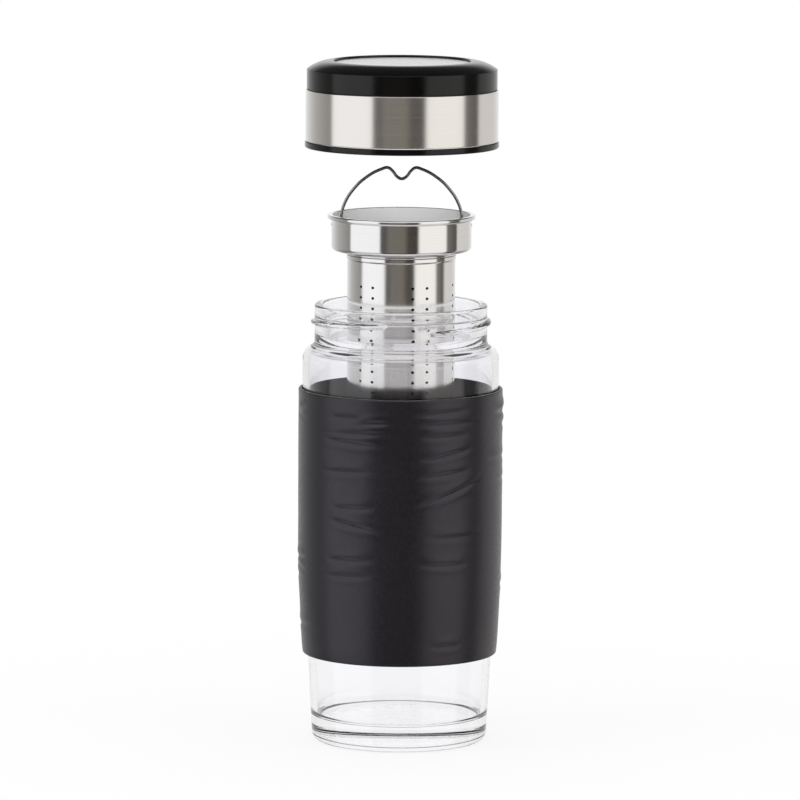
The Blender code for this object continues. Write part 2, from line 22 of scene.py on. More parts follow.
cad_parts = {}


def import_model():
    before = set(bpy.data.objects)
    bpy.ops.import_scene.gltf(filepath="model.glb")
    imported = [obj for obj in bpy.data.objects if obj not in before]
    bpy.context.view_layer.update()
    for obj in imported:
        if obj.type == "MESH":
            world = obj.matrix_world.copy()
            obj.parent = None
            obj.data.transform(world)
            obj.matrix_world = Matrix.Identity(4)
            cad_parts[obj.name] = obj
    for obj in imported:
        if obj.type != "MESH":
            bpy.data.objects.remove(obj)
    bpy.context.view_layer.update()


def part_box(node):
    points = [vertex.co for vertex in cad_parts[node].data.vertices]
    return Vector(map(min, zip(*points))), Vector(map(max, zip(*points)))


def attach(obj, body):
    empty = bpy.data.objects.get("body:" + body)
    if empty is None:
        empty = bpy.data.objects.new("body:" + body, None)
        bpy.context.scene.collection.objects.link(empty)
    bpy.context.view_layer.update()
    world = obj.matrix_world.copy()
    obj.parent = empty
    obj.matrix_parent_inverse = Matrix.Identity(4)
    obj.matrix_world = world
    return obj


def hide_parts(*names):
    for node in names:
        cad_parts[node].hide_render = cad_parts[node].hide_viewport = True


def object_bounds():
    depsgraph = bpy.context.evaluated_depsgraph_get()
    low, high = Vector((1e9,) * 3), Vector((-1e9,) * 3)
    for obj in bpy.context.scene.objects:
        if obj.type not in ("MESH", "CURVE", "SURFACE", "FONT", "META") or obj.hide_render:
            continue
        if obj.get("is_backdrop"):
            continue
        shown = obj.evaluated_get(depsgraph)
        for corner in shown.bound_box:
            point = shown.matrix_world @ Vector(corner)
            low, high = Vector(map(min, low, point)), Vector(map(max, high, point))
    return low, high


Point = tuple[float, float]
Colour = tuple[float, float, float]
Reshape = Callable[[Vector], Vector]
Mesh = bpy.types.Mesh
Socket = bpy.types.NodeSocket
Inputs = dict[str | int, object]

log = logging.getLogger("tea_infuser_mug")

TURN_STEPS = 144
ARC_STEPS = 8
EDGE_STEPS = 4
TINY_STEPS = 3
MERGE_DISTANCE = 0.000001
BRACE = 0.0002
FIT_GAP = 0.0003
SHARP_ANGLE = math.radians(40)


class Body(Enum):
    """The moving bodies of the mug."""

    MUG = "mug"
    INFUSER = "infuser"
    BAIL = "bail"
    LID_SEAL = "lid_seal"
    LID = "lid"


class Slot(Enum):
    """The material slots of the record."""

    GLASS = "clear_glass"
    SILICONE = "dark_silicone"
    POLISHED = "polished_steel"
    BRUSHED = "brushed_steel"
    PLASTIC = "black_plastic"
    SEAL = "clear_silicone"


class Brushing(Enum):
    """The way in which a steel surface was brushed.

    The numbers scale the scratches along X, Y and Z. On a face only the first counts, along the radius.
    """

    ROUND_THE_SIDE = (18.0, 18.0, 5200.0)
    UP_THE_SIDE = (2600.0, 2600.0, 30.0)
    ROUND_THE_FACE = (5200.0, 0.0, 0.0)


def held(value: float) -> float:
    """Return a value held between 0 and 1."""
    return min(1.0, max(0.0, value))


def smooth_step(value: float) -> float:
    """Return a value held between 0 and 1 and eased at both ends."""
    return held(value) ** 2 * (3.0 - 2.0 * held(value))


def around(radius: float, angle: float, height: float = 0.0) -> Vector:
    """Return the point at a radius, an angle from the front and a height."""
    return Vector((radius * math.sin(angle), -radius * math.cos(angle), height))


def angle_of(point: Vector) -> float:
    """Return the angle of a point from the front, from 0 to a full turn."""
    return math.atan2(point.x, -point.y) % math.tau


def turn_between(start: float, end: float) -> float:
    """Return the shorter turn from one angle to another, from minus to plus half a turn."""
    return (end - start + math.pi) % math.tau - math.pi


def pushed_out(place: Vector, distance: float) -> Vector:
    """Return a point moved away from the mug's axis by a distance."""
    scale = 1.0 + distance / math.hypot(place.x, place.y)
    return Vector((place.x * scale, place.y * scale, place.z))


def swell(value: float, middle: float, width: float) -> float:
    """Return a smooth swelling, 1 at its middle and near 0 at twice its width from there."""
    return math.exp(-((value - middle) / width) ** 2)


def arc(middle: Point, radius: float, start: float, end: float, steps: int = ARC_STEPS) -> list[Point]:
    """Return points along an arc.

    Args:
        middle: Radius and height of the arc's centre.
        radius: The arc's own radius.
        start: First angle in degrees, 0 pointing away from the mug's axis.
        end: Last angle in degrees.
        steps: Number of steps between the two.

    Returns:
        The points (radius, height), both ends included.
    """
    angles = [math.radians(start + (end - start) * step / steps) for step in range(steps + 1)]
    return [(middle[0] + radius * math.cos(angle), middle[1] + radius * math.sin(angle)) for angle in angles]


def rounded(corner: Point, radius: float, start: float, end: float, steps: int = ARC_STEPS) -> list[Point]:
    """Return the quarter of a circle that rounds off a square corner of an outline.

    Args:
        corner: Radius and height of the corner.
        radius: Radius of the round.
        start: First angle in degrees, as for an arc.
        end: Last angle, a quarter turn from the first.
        steps: Number of steps between the two.

    Returns:
        The points (radius, height), both ends included.
    """
    across = math.cos(math.radians(start)) + math.cos(math.radians(end))
    up = math.sin(math.radians(start)) + math.sin(math.radians(end))
    return arc((corner[0] - radius * across, corner[1] - radius * up), radius, start, end, steps)


def rows(radius: Callable[[float], float], low: float, high: float, count: int) -> list[Point]:
    """Return evenly spaced points of a wall whose radius is a function of the height, ends left out."""
    heights = [low + (high - low) * step / count for step in range(1, count)]
    return [(radius(height), height) for height in heights]


def braced(outline: Sequence[Point], closed: bool) -> list[Point]:
    """Add points near both ends of each long stretch of an outline, so that its shading stays flat.

    Args:
        outline: Points (radius, height) in order.
        closed: Whether the last point joins the first.

    Returns:
        The outline with the points added.
    """
    points = []
    ends = [*outline[1:], outline[0] if closed else outline[-1]]
    for start, end in zip(outline, ends):
        points.append(start)
        length = math.dist(start, end)
        if length > 3 * BRACE:
            for share in (BRACE / length, 1 - BRACE / length):
                points.append(tuple(a + (b - a) * share for a, b in zip(start, end)))
    return points


def put_in_scene(name: str, data: bpy.types.ID) -> bpy.types.Object:
    """Put a new object in the scene.

    Args:
        name: Name of the object.
        data: Its mesh, curve, lamp or camera.

    Returns:
        The object.
    """
    thing = bpy.data.objects.new(name, data)
    bpy.context.scene.collection.objects.link(thing)
    return thing


def finish_mesh(name: str, shape: bmesh.types.BMesh, recalculate: bool = True) -> Mesh:
    """Turn a bmesh into a smooth shaded mesh.

    Args:
        name: Name of the mesh.
        shape: The bmesh, which is freed.
        recalculate: Whether the faces are turned outwards first.

    Returns:
        The mesh.
    """
    bmesh.ops.remove_doubles(shape, verts=shape.verts, dist=MERGE_DISTANCE)
    if recalculate:
        bmesh.ops.recalc_face_normals(shape, faces=shape.faces)
    mesh = bpy.data.meshes.new(name)
    shape.to_mesh(mesh)
    shape.free()
    mesh.shade_smooth()
    mesh.set_sharp_from_angle(angle=SHARP_ANGLE)
    return mesh


def spin_outline(
    outline: Sequence[Point], steps: int = TURN_STEPS, start: float = 0.0, closed: bool = True
) -> bmesh.types.BMesh:
    """Spin an outline a full turn round the mug's axis.

    Args:
        outline: Points (radius, height) in order.
        steps: Number of faces round the turn.
        start: Angle from the front at which the outline is drawn.
        closed: Whether the last point joins the first.

    Returns:
        The bmesh, with its seam merged.
    """
    shape = bmesh.new()
    corners = [shape.verts.new(around(radius, start, height)) for radius, height in braced(outline, closed)]
    edges = [shape.edges.new(pair) for pair in zip(corners, corners[1:])]
    if closed:
        edges.append(shape.edges.new((corners[-1], corners[0])))
    bmesh.ops.spin(
        shape, geom=corners + edges, cent=(0, 0, 0), axis=(0, 0, 1),
        angle=math.tau, steps=steps, use_merge=True,
    )
    bmesh.ops.remove_doubles(shape, verts=shape.verts, dist=MERGE_DISTANCE)
    loose = [edge for edge in shape.edges if not edge.link_faces]
    bmesh.ops.delete(shape, geom=loose, context='EDGES')
    return shape


def turned(
    name: str, outline: Sequence[Point], steps: int = TURN_STEPS, reshape: Reshape | None = None
) -> Mesh:
    """Turn a closed outline into a mesh.

    Args:
        name: Name of the mesh.
        outline: Points (radius, height) in order.
        steps: Number of faces round the turn.
        reshape: Moves each vertex of the turned shape, if given.

    Returns:
        The mesh.
    """
    shape = spin_outline(outline, steps)
    if reshape is not None:
        for corner in shape.verts:
            corner.co = reshape(corner.co)
    return finish_mesh(name, shape)


def pins(name: str, places: Sequence[Matrix], diameter: float, length: float, sides: int) -> Mesh:
    """Make the tool that cuts round holes.

    Args:
        name: Name of the mesh.
        places: Where the middle of each pin is, and how it is turned from upright.
        diameter: The diameter of the pins.
        length: Their length.
        sides: Number of faces round each.

    Returns:
        All the pins in one mesh.
    """
    shape = bmesh.new()
    for place in places:
        bmesh.ops.create_cone(
            shape, cap_ends=True, segments=sides, radius1=diameter / 2, radius2=diameter / 2, depth=length,
            matrix=place,
        )
    return finish_mesh(name, shape)


def cut_or_join(mesh: Mesh, tool: Mesh, operation: str) -> Mesh:
    """Cut a tool out of a mesh or join it on.

    Args:
        mesh: The closed mesh that is worked on.
        tool: The closed mesh of the tool.
        operation: DIFFERENCE or UNION.

    Returns:
        The new mesh, which takes the old one's name.
    """
    holder = put_in_scene("worked_piece", mesh)
    helper = put_in_scene("work_tool", tool)
    modifier = holder.modifiers.new("work", 'BOOLEAN')
    modifier.object = helper
    modifier.operation = operation
    modifier.solver = 'EXACT'
    graph = bpy.context.evaluated_depsgraph_get()
    result = bpy.data.meshes.new_from_object(holder.evaluated_get(graph))
    name = mesh.name
    for thing in (holder, helper):
        bpy.data.objects.remove(thing, do_unlink=True)
    mesh.name = name + "_before"
    result.name = name
    result.shade_smooth()
    result.set_sharp_from_angle(angle=SHARP_ANGLE)
    return result


@dataclass
class Wiring:
    """Wires up the nodes of a material or a world."""

    tree: bpy.types.NodeTree
    noise_low: float = 0.3
    noise_high: float = 0.7

    def feed(self, node: bpy.types.Node, inputs: Inputs) -> None:
        """Set the inputs of a node.

        Args:
            node: The node.
            inputs: What each input gets: another node's output, or a value.
        """
        for key, value in inputs.items():
            if isinstance(value, Socket):
                self.tree.links.new(value, node.inputs[key])
            else:
                node.inputs[key].default_value = value

    def add(self, kind: str, inputs: Inputs | None = None, **settings: object) -> bpy.types.Node:
        """Add a node.

        Args:
            kind: The node's type name.
            inputs: What each input gets: another node's output, or a value.
            settings: The node's own properties.

        Returns:
            The node.
        """
        node = self.tree.nodes.new(kind)
        for name, value in settings.items():
            setattr(node, name, value)
        self.feed(node, inputs or {})
        return node

    def maths(self, operation: str, *values: object) -> Socket:
        """Add a Math node and return its output."""
        return self.add("ShaderNodeMath", dict(enumerate(values)), operation=operation).outputs[0]

    def place(self, scale: Sequence[float]) -> Socket:
        """Return the object's own coordinates, stretched by a scale."""
        inputs = {0: self.add("ShaderNodeTexCoord").outputs["Object"], "Scale": tuple(scale)}
        return self.add("ShaderNodeMapping", inputs).outputs[0]

    def from_axis(self) -> Socket:
        """Return the distance from the mug's axis."""
        level = self.place((1.0, 1.0, 0.0))
        return self.add("ShaderNodeVectorMath", {0: level}, operation='LENGTH').outputs["Value"]

    def grain(self, size: float, detail: float = 3.0, scale: Sequence[float] = (1.0, 1.0, 1.0)) -> Socket:
        """Return noise over the object's own coordinates, stretched by a scale."""
        inputs = {0: self.place(scale), "Scale": size, "Detail": detail}
        return self.add("ShaderNodeTexNoise", inputs).outputs[0]

    def ease(
        self, value: object, start: object, end: object, low: float = 0.0, high: float = 1.0,
        **settings: object,
    ) -> Socket:
        """Map a value that runs from start to end onto low to high.

        Args:
            value: The value.
            start: The value that gives low, and so does any before it.
            end: The value that gives high, and so does any after it.
            low: What the start gives.
            high: What the end gives.
            settings: The node's own properties.

        Returns:
            The mapped value.
        """
        inputs = {0: value, "From Min": start, "From Max": end, "To Min": low, "To Max": high}
        return self.add("ShaderNodeMapRange", inputs, **settings).outputs[0]

    def spread(self, value: Socket, low: float, high: float) -> Socket:
        """Map noise from its middle range to low and high."""
        return self.ease(value, self.noise_low, self.noise_high, low, high)

    def blend(self, share: Socket, first: object, second: object) -> Socket:
        """Mix two colours.

        Args:
            share: The second colour's share.
            first: The first colour, as an output or as three numbers.
            second: The second colour.

        Returns:
            The mixed colour.
        """
        inputs = {0: share}
        for key, colour in (("A", first), ("B", second)):
            inputs[key] = (*colour, 1.0) if isinstance(colour, tuple) else colour
        return self.add("ShaderNodeMix", inputs, data_type='RGBA').outputs["Result"]

    def bump(self, value: Socket, strength: float, depth: float) -> Socket:
        """Return a normal that follows a height."""
        inputs = {"Height": value, "Strength": strength, "Distance": depth}
        return self.add("ShaderNodeBump", inputs).outputs[0]


@dataclass(frozen=True)
class Finish:
    """A finish: its name, its slot of the record, its plain colour and gloss, and its grain."""

    name: str
    slot: Slot
    colour: Colour
    roughness: float
    metallic: float = 0.0
    rough_spread: float = 0.05
    grain_strength: float = 0.12
    grain_depth: float = 0.00006

    @cache
    def material(self) -> bpy.types.Material:
        """Make the finish's material, once.

        Returns:
            The material.
        """
        material = bpy.data.materials.new(self.name)
        material.use_nodes = True
        wiring = Wiring(material.node_tree)
        shader = material.node_tree.nodes["Principled BSDF"]
        plain = {"Base Color": (*self.colour, 1.0), "Roughness": self.roughness, "Metallic": self.metallic}
        wiring.feed(shader, plain)
        wiring.feed(shader, self.details(wiring))
        return material

    def details(self, wiring: Wiring) -> Inputs:
        """Return what the finish feeds to the shader over its plain look."""
        return {}

    def uneven(self, wiring: Wiring, texture: Socket) -> Inputs:
        """Let a texture show in the gloss and in the surface.

        Args:
            wiring: The material's nodes.
            texture: The texture's output.

        Returns:
            The shader's roughness and normal.
        """
        low, high = self.roughness - self.rough_spread, self.roughness + self.rough_spread
        normal = wiring.bump(texture, self.grain_strength, self.grain_depth)
        return {"Roughness": wiring.spread(texture, low, high), "Normal": normal}


@dataclass(frozen=True)
class ClearGlass(Finish):
    """Clear glass with the faint waves of a blown and pressed wall."""

    index: float = 1.47
    wave_size: float = 46.0
    wave_detail: float = 1.0
    wave_stretch: Sequence[float] = (1.0, 1.0, 0.45)
    grain_strength: float = 0.06
    grain_depth: float = 0.0004

    def details(self, wiring: Wiring) -> Inputs:
        """Let light through and add the waves."""
        wave = wiring.grain(self.wave_size, self.wave_detail, self.wave_stretch)
        return {"Transmission Weight": 1.0, "IOR": self.index,
                "Normal": wiring.bump(wave, self.grain_strength, self.grain_depth)}


@dataclass(frozen=True)
class Moulded(Finish):
    """Moulded plastic or rubber with a fine texture."""

    sheen: float = 0.5
    grain_size: float = 1500.0

    def details(self, wiring: Wiring) -> Inputs:
        """Set the sheen and add the texture."""
        return {"Specular IOR Level": self.sheen, **self.uneven(wiring, wiring.grain(self.grain_size))}


@dataclass(frozen=True)
class MattSilicone(Moulded):
    """Matte silicone with a powdery grain and a mottled colour."""

    light: Colour = (0.0080, 0.0072, 0.0094)
    sheen: float = 0.58
    sheen_tint: Colour = (0.95, 0.90, 1.0)
    mottle_size: float = 60.0
    grain_size: float = 900.0
    grain_strength: float = 0.15
    grain_depth: float = 0.0001

    def details(self, wiring: Wiring) -> Inputs:
        """Add the mottled colour and the tint of the sheen."""
        mottled = wiring.blend(wiring.grain(self.mottle_size), self.colour, self.light)
        return {**super().details(wiring), "Specular Tint": (*self.sheen_tint, 1.0), "Base Color": mottled}


@dataclass(frozen=True)
class Steel(Finish):
    """Stainless steel, polished or brushed one way."""

    metallic: float = 1.0
    stretch: float = 0.0
    stretch_turn: float = 0.25
    brushing: Brushing = Brushing.ROUND_THE_SIDE
    line_detail: float = 2.0
    rough_spread: float = 0.04
    grain_strength: float = 0.05
    grain_depth: float = 0.00005
    shade: float = 0.9

    def details(self, wiring: Wiring) -> Inputs:
        """Stretch the gloss across the brushing, and show its lines in colour, gloss and surface.

        Args:
            wiring: The material's nodes.

        Returns:
            What the shader's inputs get.
        """
        if self.brushing is Brushing.ROUND_THE_FACE:
            place = wiring.maths("MULTIPLY", wiring.from_axis(), self.brushing.value[0])
            inputs = {"W": place, "Scale": 1.0, "Detail": self.line_detail}
            lines = wiring.add("ShaderNodeTexNoise", inputs, noise_dimensions='1D').outputs[0]
        else:
            lines = wiring.grain(1.0, self.line_detail, self.brushing.value)
        dark = tuple(part * self.shade for part in self.colour)
        gloss = {"Anisotropic": self.stretch, "Anisotropic Rotation": self.stretch_turn}
        return {**gloss, "Base Color": wiring.blend(lines, dark, self.colour), **self.uneven(wiring, lines)}


GLASS = ClearGlass("tumbler_glass", Slot.GLASS, (0.975, 0.975, 0.985), 0.0)
SILICONE = MattSilicone("sleeve_silicone", Slot.SILICONE, (0.0050, 0.0044, 0.0060), 0.34)
POLISHED = Steel("mirror_steel", Slot.POLISHED, (0.80, 0.79, 0.78), 0.09)
PERFORATED = Steel(
    "tube_steel", Slot.POLISHED, (0.82, 0.81, 0.80), 0.16, brushing=Brushing.UP_THE_SIDE,
    rough_spread=0.02, grain_strength=0.02,
)
# Painted shade: the tube's inside and the walls of its holes get a dark copy of the tube's steel, so that the
# holes and the inside read dark.
TUBE_INSIDE_PAINTED_SHADE = Steel(
    "tube_inside_painted_shade", Slot.POLISHED, (0.06, 0.058, 0.056), 0.5, brushing=Brushing.UP_THE_SIDE
)
# Painted reflection: the collar's inner wall is steel, but gets a white non-metal copy that stands in for its
# bright reflection.
COLLAR_INSIDE_PAINTED_LIGHT = Steel("collar_inside_painted_light", Slot.POLISHED, (0.97, 0.97, 0.975), 0.35, metallic=0.0)
# Painted shade: the wire is the same steel as the collar, its colour darkened so that it reads dark.
WIRE_PAINTED_SHADE = Steel("wire_painted_shade_steel", Slot.POLISHED, (0.42, 0.41, 0.40), 0.25)
BAND_STEEL = Steel(
    "band_steel", Slot.BRUSHED, (0.80, 0.775, 0.745), 0.22, stretch=0.85, rough_spread=0.02,
    grain_strength=0.02,
)
DISC_STEEL = Steel(
    "disc_steel", Slot.BRUSHED, (0.92, 0.915, 0.91), 0.30, metallic=0.6, brushing=Brushing.ROUND_THE_FACE,
    rough_spread=0.03, grain_strength=0.03,
)
PLASTIC = Moulded("lid_plastic", Slot.PLASTIC, (0.0012, 0.0012, 0.0014), 0.16, sheen=0.34)
SEAL = Moulded("seal_silicone", Slot.SEAL, (0.75, 0.75, 0.73), 0.5)


def place_piece(
    name: str, data: bpy.types.ID, body: Body, finish: Finish, nodes: Sequence[str]
) -> bpy.types.Object:
    """Put a finished piece in the scene.

    Args:
        name: Name of the piece.
        data: Its mesh or curve, already in the mug's frame.
        body: The body that it moves with.
        finish: Its finish.
        nodes: The solids of the frame that it stands for.

    Returns:
        The piece.
    """
    piece = put_in_scene(name, data)
    data.materials.append(finish.material())
    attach(piece, body.value)
    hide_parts(*nodes)
    log.info("%s rides on %s", name, body.value)
    return piece


@dataclass
class Tumbler:
    """The glass vessel with its thick floor, shoulder, neck and interrupted thread."""

    height: float = 0.1562
    radius: float = 0.0348
    foot_radius: float = 0.0311
    taper_top: float = 0.074
    heel_round: float = 0.0029
    wall: float = 0.0023
    floor: float = 0.0090
    floor_round: float = 0.0022
    neck_radius: float = 0.0306
    neck_height: float = 0.0130
    neck_fillet: float = 0.0022
    shoulder_round: float = 0.0045
    lip_round: float = 0.0009
    step_radius: float = 0.0276
    step_depth: float = 0.0047
    step_thickness: float = 0.0060
    step_edge: float = 0.0005
    mouth_radius: float = 0.0252
    thread_radius: float = 0.0319
    thread_foot: float = 0.0011
    thread_crest: float = 0.0003
    thread_lead: float = 0.0070
    thread_starts: int = 2
    thread_span: float = math.radians(154)
    thread_taper: float = math.radians(9)
    thread_gap_middle: float = math.radians(5)
    thread_drop: float = 0.0078
    thread_rows: int = 72
    wall_rows: int = 12
    flat_rows: int = 4
    shoulder_steps: int = 10
    floor_steps: int = 12
    steps: int = 216

    def wall_radius(self, height: float) -> float:
        """Return the outer radius of the glass below its shoulder."""
        share = held((height - self.heel_round) / (self.taper_top - self.heel_round))
        return self.foot_radius + (self.radius - self.foot_radius) * share

    def inner_radius(self, height: float) -> float:
        """Return the inner radius of the glass below its shoulder."""
        return self.wall_radius(height) - self.wall

    def shoulder(self) -> tuple[Point, float]:
        """Fit the shoulder's round to the fillet of the neck.

        Returns:
            The centre of the round, and the angle at which the fillet meets it.
        """
        across = self.neck_radius + self.neck_fillet - (self.radius - self.shoulder_round)
        up = math.sqrt((self.shoulder_round + self.neck_fillet) ** 2 - across ** 2)
        middle = (self.radius - self.shoulder_round, self.height - self.neck_height - up)
        return middle, math.degrees(math.atan2(up, across))

    def outline(self) -> list[Point]:
        """Draw the section of the glass.

        Returns:
            Its points, up the outside and down the inside.
        """
        middle, meeting = self.shoulder()
        neck_foot = self.height - self.neck_height
        fillet = (self.neck_radius + self.neck_fillet, neck_foot)
        lip_foot = self.height - self.lip_round
        step = self.height - self.step_depth
        step_foot = (self.mouth_radius + self.step_edge, step - self.step_thickness)
        floor_edge = self.floor + self.floor_round
        inner_foot = self.inner_radius(floor_edge)
        heel = self.foot_radius - self.heel_round
        shares = [row / self.flat_rows for row in range(self.flat_rows)]

        points = [(heel * share, 0.0) for share in shares]
        points += rounded((self.foot_radius, 0.0), self.heel_round, -90, 0)
        points += rows(self.wall_radius, self.heel_round, self.taper_top, self.wall_rows)
        points += rows(self.wall_radius, self.taper_top, middle[1], self.wall_rows)
        points += arc(middle, self.shoulder_round, 0, meeting, self.shoulder_steps)
        points += arc(fillet, self.neck_fillet, 180 + meeting, 180)[1:]
        points += rows(lambda height: self.neck_radius, neck_foot, lip_foot, self.thread_rows)
        points += rounded((self.neck_radius, self.height), self.lip_round, 0, 90)
        points += rounded((self.step_radius, self.height), self.lip_round, 90, 180)
        points += rounded((self.step_radius, step), self.step_edge, 0, -90, EDGE_STEPS)
        points += rounded((self.mouth_radius, step), self.step_edge, 90, 180, EDGE_STEPS)
        points += arc(step_foot, self.step_edge, 180, 225, TINY_STEPS)
        points += arc(middle, self.shoulder_round - self.wall, meeting, 0)
        points += rows(self.inner_radius, middle[1], floor_edge, self.wall_rows)
        points += rounded((inner_foot, self.floor), self.floor_round, 0, -90, self.floor_steps)
        points += [(inner_foot * share, self.floor) for share in reversed(shares[:-1])]
        return points

    def ridge(self, angle: float, height: float) -> float:
        """Work out how far the thread stands out of the neck.

        Args:
            angle: Angle round the mug.
            height: Height over the foot.

        Returns:
            The distance from the plain neck.
        """
        gap = math.tau / self.thread_starts - self.thread_span
        best = 0.0
        for number in range(self.thread_starts):
            low_end = self.thread_gap_middle + gap / 2 + math.tau * number / self.thread_starts
            along = (angle - low_end) % math.tau
            middle = self.height - self.thread_drop + self.thread_lead * along / math.tau
            away = abs(height - middle)
            across = smooth_step((self.thread_foot - away) / (self.thread_foot - self.thread_crest))
            ends = smooth_step(min(along, self.thread_span - along) / self.thread_taper)
            best = max(best, across * ends)
        return best * (self.thread_radius - self.neck_radius)

    def raise_thread(self, place: Vector) -> Vector:
        """Return a vertex of the glass, moved out to the thread where it is on the neck."""
        if abs(math.hypot(place.x, place.y) - self.neck_radius) > MERGE_DISTANCE:
            return place
        return pushed_out(place, self.ridge(angle_of(place), place.z))

    def build(self) -> None:
        """Build the glass."""
        mesh = turned("glass_vessel", self.outline(), self.steps, self.raise_thread)
        place_piece("glass_vessel", mesh, Body.MUG, GLASS, ["glass_tumbler"])


@dataclass(frozen=True)
class Fold:
    """One moulded fold of the sleeve, a crease with a soft ridge over it.

    Its place is an angle from the front in degrees and a drop under the sleeve's top. Its rise is the
    slope of the crease towards larger angles.
    """

    angle: float
    drop: float
    half_length: float
    rise: float
    depth: float
    width: float = 0.0020
    end_power: float = 1.5
    crease_width: float = 0.42
    ridge_middle: float = 1.05
    ridge_width: float = 0.75
    ridge_share: float = 0.75
    foot_middle: float = -0.85
    foot_width: float = 0.6
    foot_share: float = 0.4

    def height_at(self, along: float, across: float) -> float:
        """Return how far the fold stands out.

        Args:
            along: Distance along the fold from its middle, as a share of its half length.
            across: Height over its crease, as a share of its width.

        Returns:
            The distance from the plain wall.
        """
        ends = max(0.0, 1.0 - along * along) ** self.end_power
        ridge = self.ridge_share * swell(across, self.ridge_middle, self.ridge_width)
        foot = self.foot_share * swell(across, self.foot_middle, self.foot_width)
        return self.depth * ends * (ridge + foot - swell(across, 0.0, self.crease_width))


@dataclass
class GripSleeve:
    """The silicone sleeve, moulded with irregular, nearly level folds."""

    glass: Tumbler
    radius: float = 0.0362
    foot_radius: float = 0.0345
    taper: float = 0.0450
    edge_round: float = 0.0005
    row_height: float = 0.0005
    steps: int = 288
    reach: float = 3.0
    wave_height: float = 0.00012
    wave_scale: float = 2.2
    wave_rise: float = 0.014
    margin: float = 0.004
    seed: int = 31
    drawn_folds: int = 56
    drawn_top: float = 0.004
    drawn_foot: float = 0.008
    drawn_bias: float = 1.5
    drawn_half_length: Point = (0.007, 0.015)
    drawn_rise: Point = (-0.18, 0.18)
    drawn_depth: Point = (0.00018, 0.00038)
    front_reach: float = 76.0
    front_folds: Sequence[Fold] = (
        Fold(-32, 0.0070, 0.0075, 0.00, 0.00038),
        Fold(-15, 0.0084, 0.0080, 0.05, 0.00046),
        Fold(-27, 0.0125, 0.0150, 0.04, 0.00042),
        Fold(-29, 0.0158, 0.0130, -0.08, 0.00059),
        Fold(-33, 0.0262, 0.0120, 0.03, 0.00035),
        Fold(-28, 0.0390, 0.0090, 0.02, 0.00052),
        Fold(-27, 0.0452, 0.0110, -0.16, 0.00066),
        Fold(-30, 0.0575, 0.0100, 0.02, 0.00046),
        Fold(-31, 0.0632, 0.0100, 0.04, 0.00035),
        Fold(24, 0.0050, 0.0120, 0.05, 0.00046),
        Fold(29, 0.0090, 0.0130, 0.00, 0.00042),
        Fold(26, 0.0134, 0.0100, 0.02, 0.00038),
        Fold(28, 0.0200, 0.0110, 0.18, 0.00059),
        Fold(26, 0.0268, 0.0110, 0.10, 0.00049),
        Fold(30, 0.0335, 0.0140, 0.32, 0.00066),
        Fold(33, 0.0492, 0.0120, 0.00, 0.00031),
        Fold(26, 0.0590, 0.0100, -0.02, 0.00046),
        Fold(28, 0.0880, 0.0070, 0.00, 0.00031),
    )

    def __post_init__(self) -> None:
        """Take the sleeve's place from the frame and gather its folds."""
        low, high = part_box("grip_sleeve")
        self.foot = low[2]
        self.top = high[2]
        self.folds = [*self.front_folds, *self.draw_folds()]
        self.near: dict[float, list[Fold]] = {}

    def draw_folds(self) -> list[Fold]:
        """Draw the folds of the sides and the back at random, thinning out downwards.

        Returns:
            The folds.
        """
        draw = random.Random(self.seed)
        height = self.top - self.foot - self.drawn_top - self.drawn_foot
        folds = []
        for _ in range(self.drawn_folds):
            angle = draw.uniform(self.front_reach, 360.0 - self.front_reach)
            drop = self.drawn_top + height * draw.random() ** self.drawn_bias
            ranges = (self.drawn_half_length, self.drawn_rise, self.drawn_depth)
            folds.append(Fold(angle, drop, *[draw.uniform(*ends) for ends in ranges]))
        return folds

    def outer_radius(self, height: float) -> float:
        """Return the outer radius without the folds."""
        share = held((height - self.foot) / self.taper)
        return self.radius - (self.radius - self.foot_radius) * (1.0 - share) ** 2

    def folds_near(self, height: float) -> list[Fold]:
        """Find the folds that reach a height, once for each row of vertices.

        Args:
            height: The row's height.

        Returns:
            The folds.
        """
        row = round(height, 6)
        if row not in self.near:
            self.near[row] = [fold for fold in self.folds if abs(self.top - fold.drop - height)
                              < self.reach * fold.width + abs(fold.rise) * fold.half_length]
        return self.near[row]

    def relief(self, angle: float, height: float) -> float:
        """Work out how far the wall stands out.

        Args:
            angle: Angle round the mug.
            height: Height over the glass's foot.

        Returns:
            The distance from the plain wall.
        """
        out = noise.noise(around(self.wave_scale, angle, height / self.wave_rise)) * self.wave_height
        for fold in self.folds_near(height):
            along = turn_between(math.radians(fold.angle), angle) * self.radius / fold.half_length
            if abs(along) < 1.0:
                crease = self.top - fold.drop + fold.rise * along * fold.half_length
                out += fold.height_at(along, (height - crease) / fold.width)
        inside = min(height - self.foot, self.top - height) / self.margin
        return out * smooth_step(inside)

    def raise_folds(self, place: Vector) -> Vector:
        """Return a vertex of the sleeve, moved with the folds where it is on the outer wall."""
        if math.hypot(place.x, place.y) < self.outer_radius(place.z) - MERGE_DISTANCE:
            return place
        return pushed_out(place, self.relief(angle_of(place), place.z))

    def build(self) -> None:
        """Build the sleeve."""
        edge = self.edge_round
        glass_top = self.glass.radius + FIT_GAP
        count = round((self.top - self.foot - 2 * edge) / self.row_height)
        points = [(self.glass.wall_radius(self.foot) + FIT_GAP, self.foot)]
        points += rounded((self.foot_radius, self.foot), edge, -90, 0, EDGE_STEPS)
        points += rows(self.outer_radius, self.foot + edge, self.top - edge, count)
        points += rounded((self.radius, self.top), edge, 0, 90, EDGE_STEPS)
        points += [(glass_top, self.top), (glass_top, self.glass.taper_top)]
        mesh = turned("sleeve_skin", points, self.steps, self.raise_folds)
        place_piece("sleeve_skin", mesh, Body.MUG, SILICONE, ["grip_sleeve"])


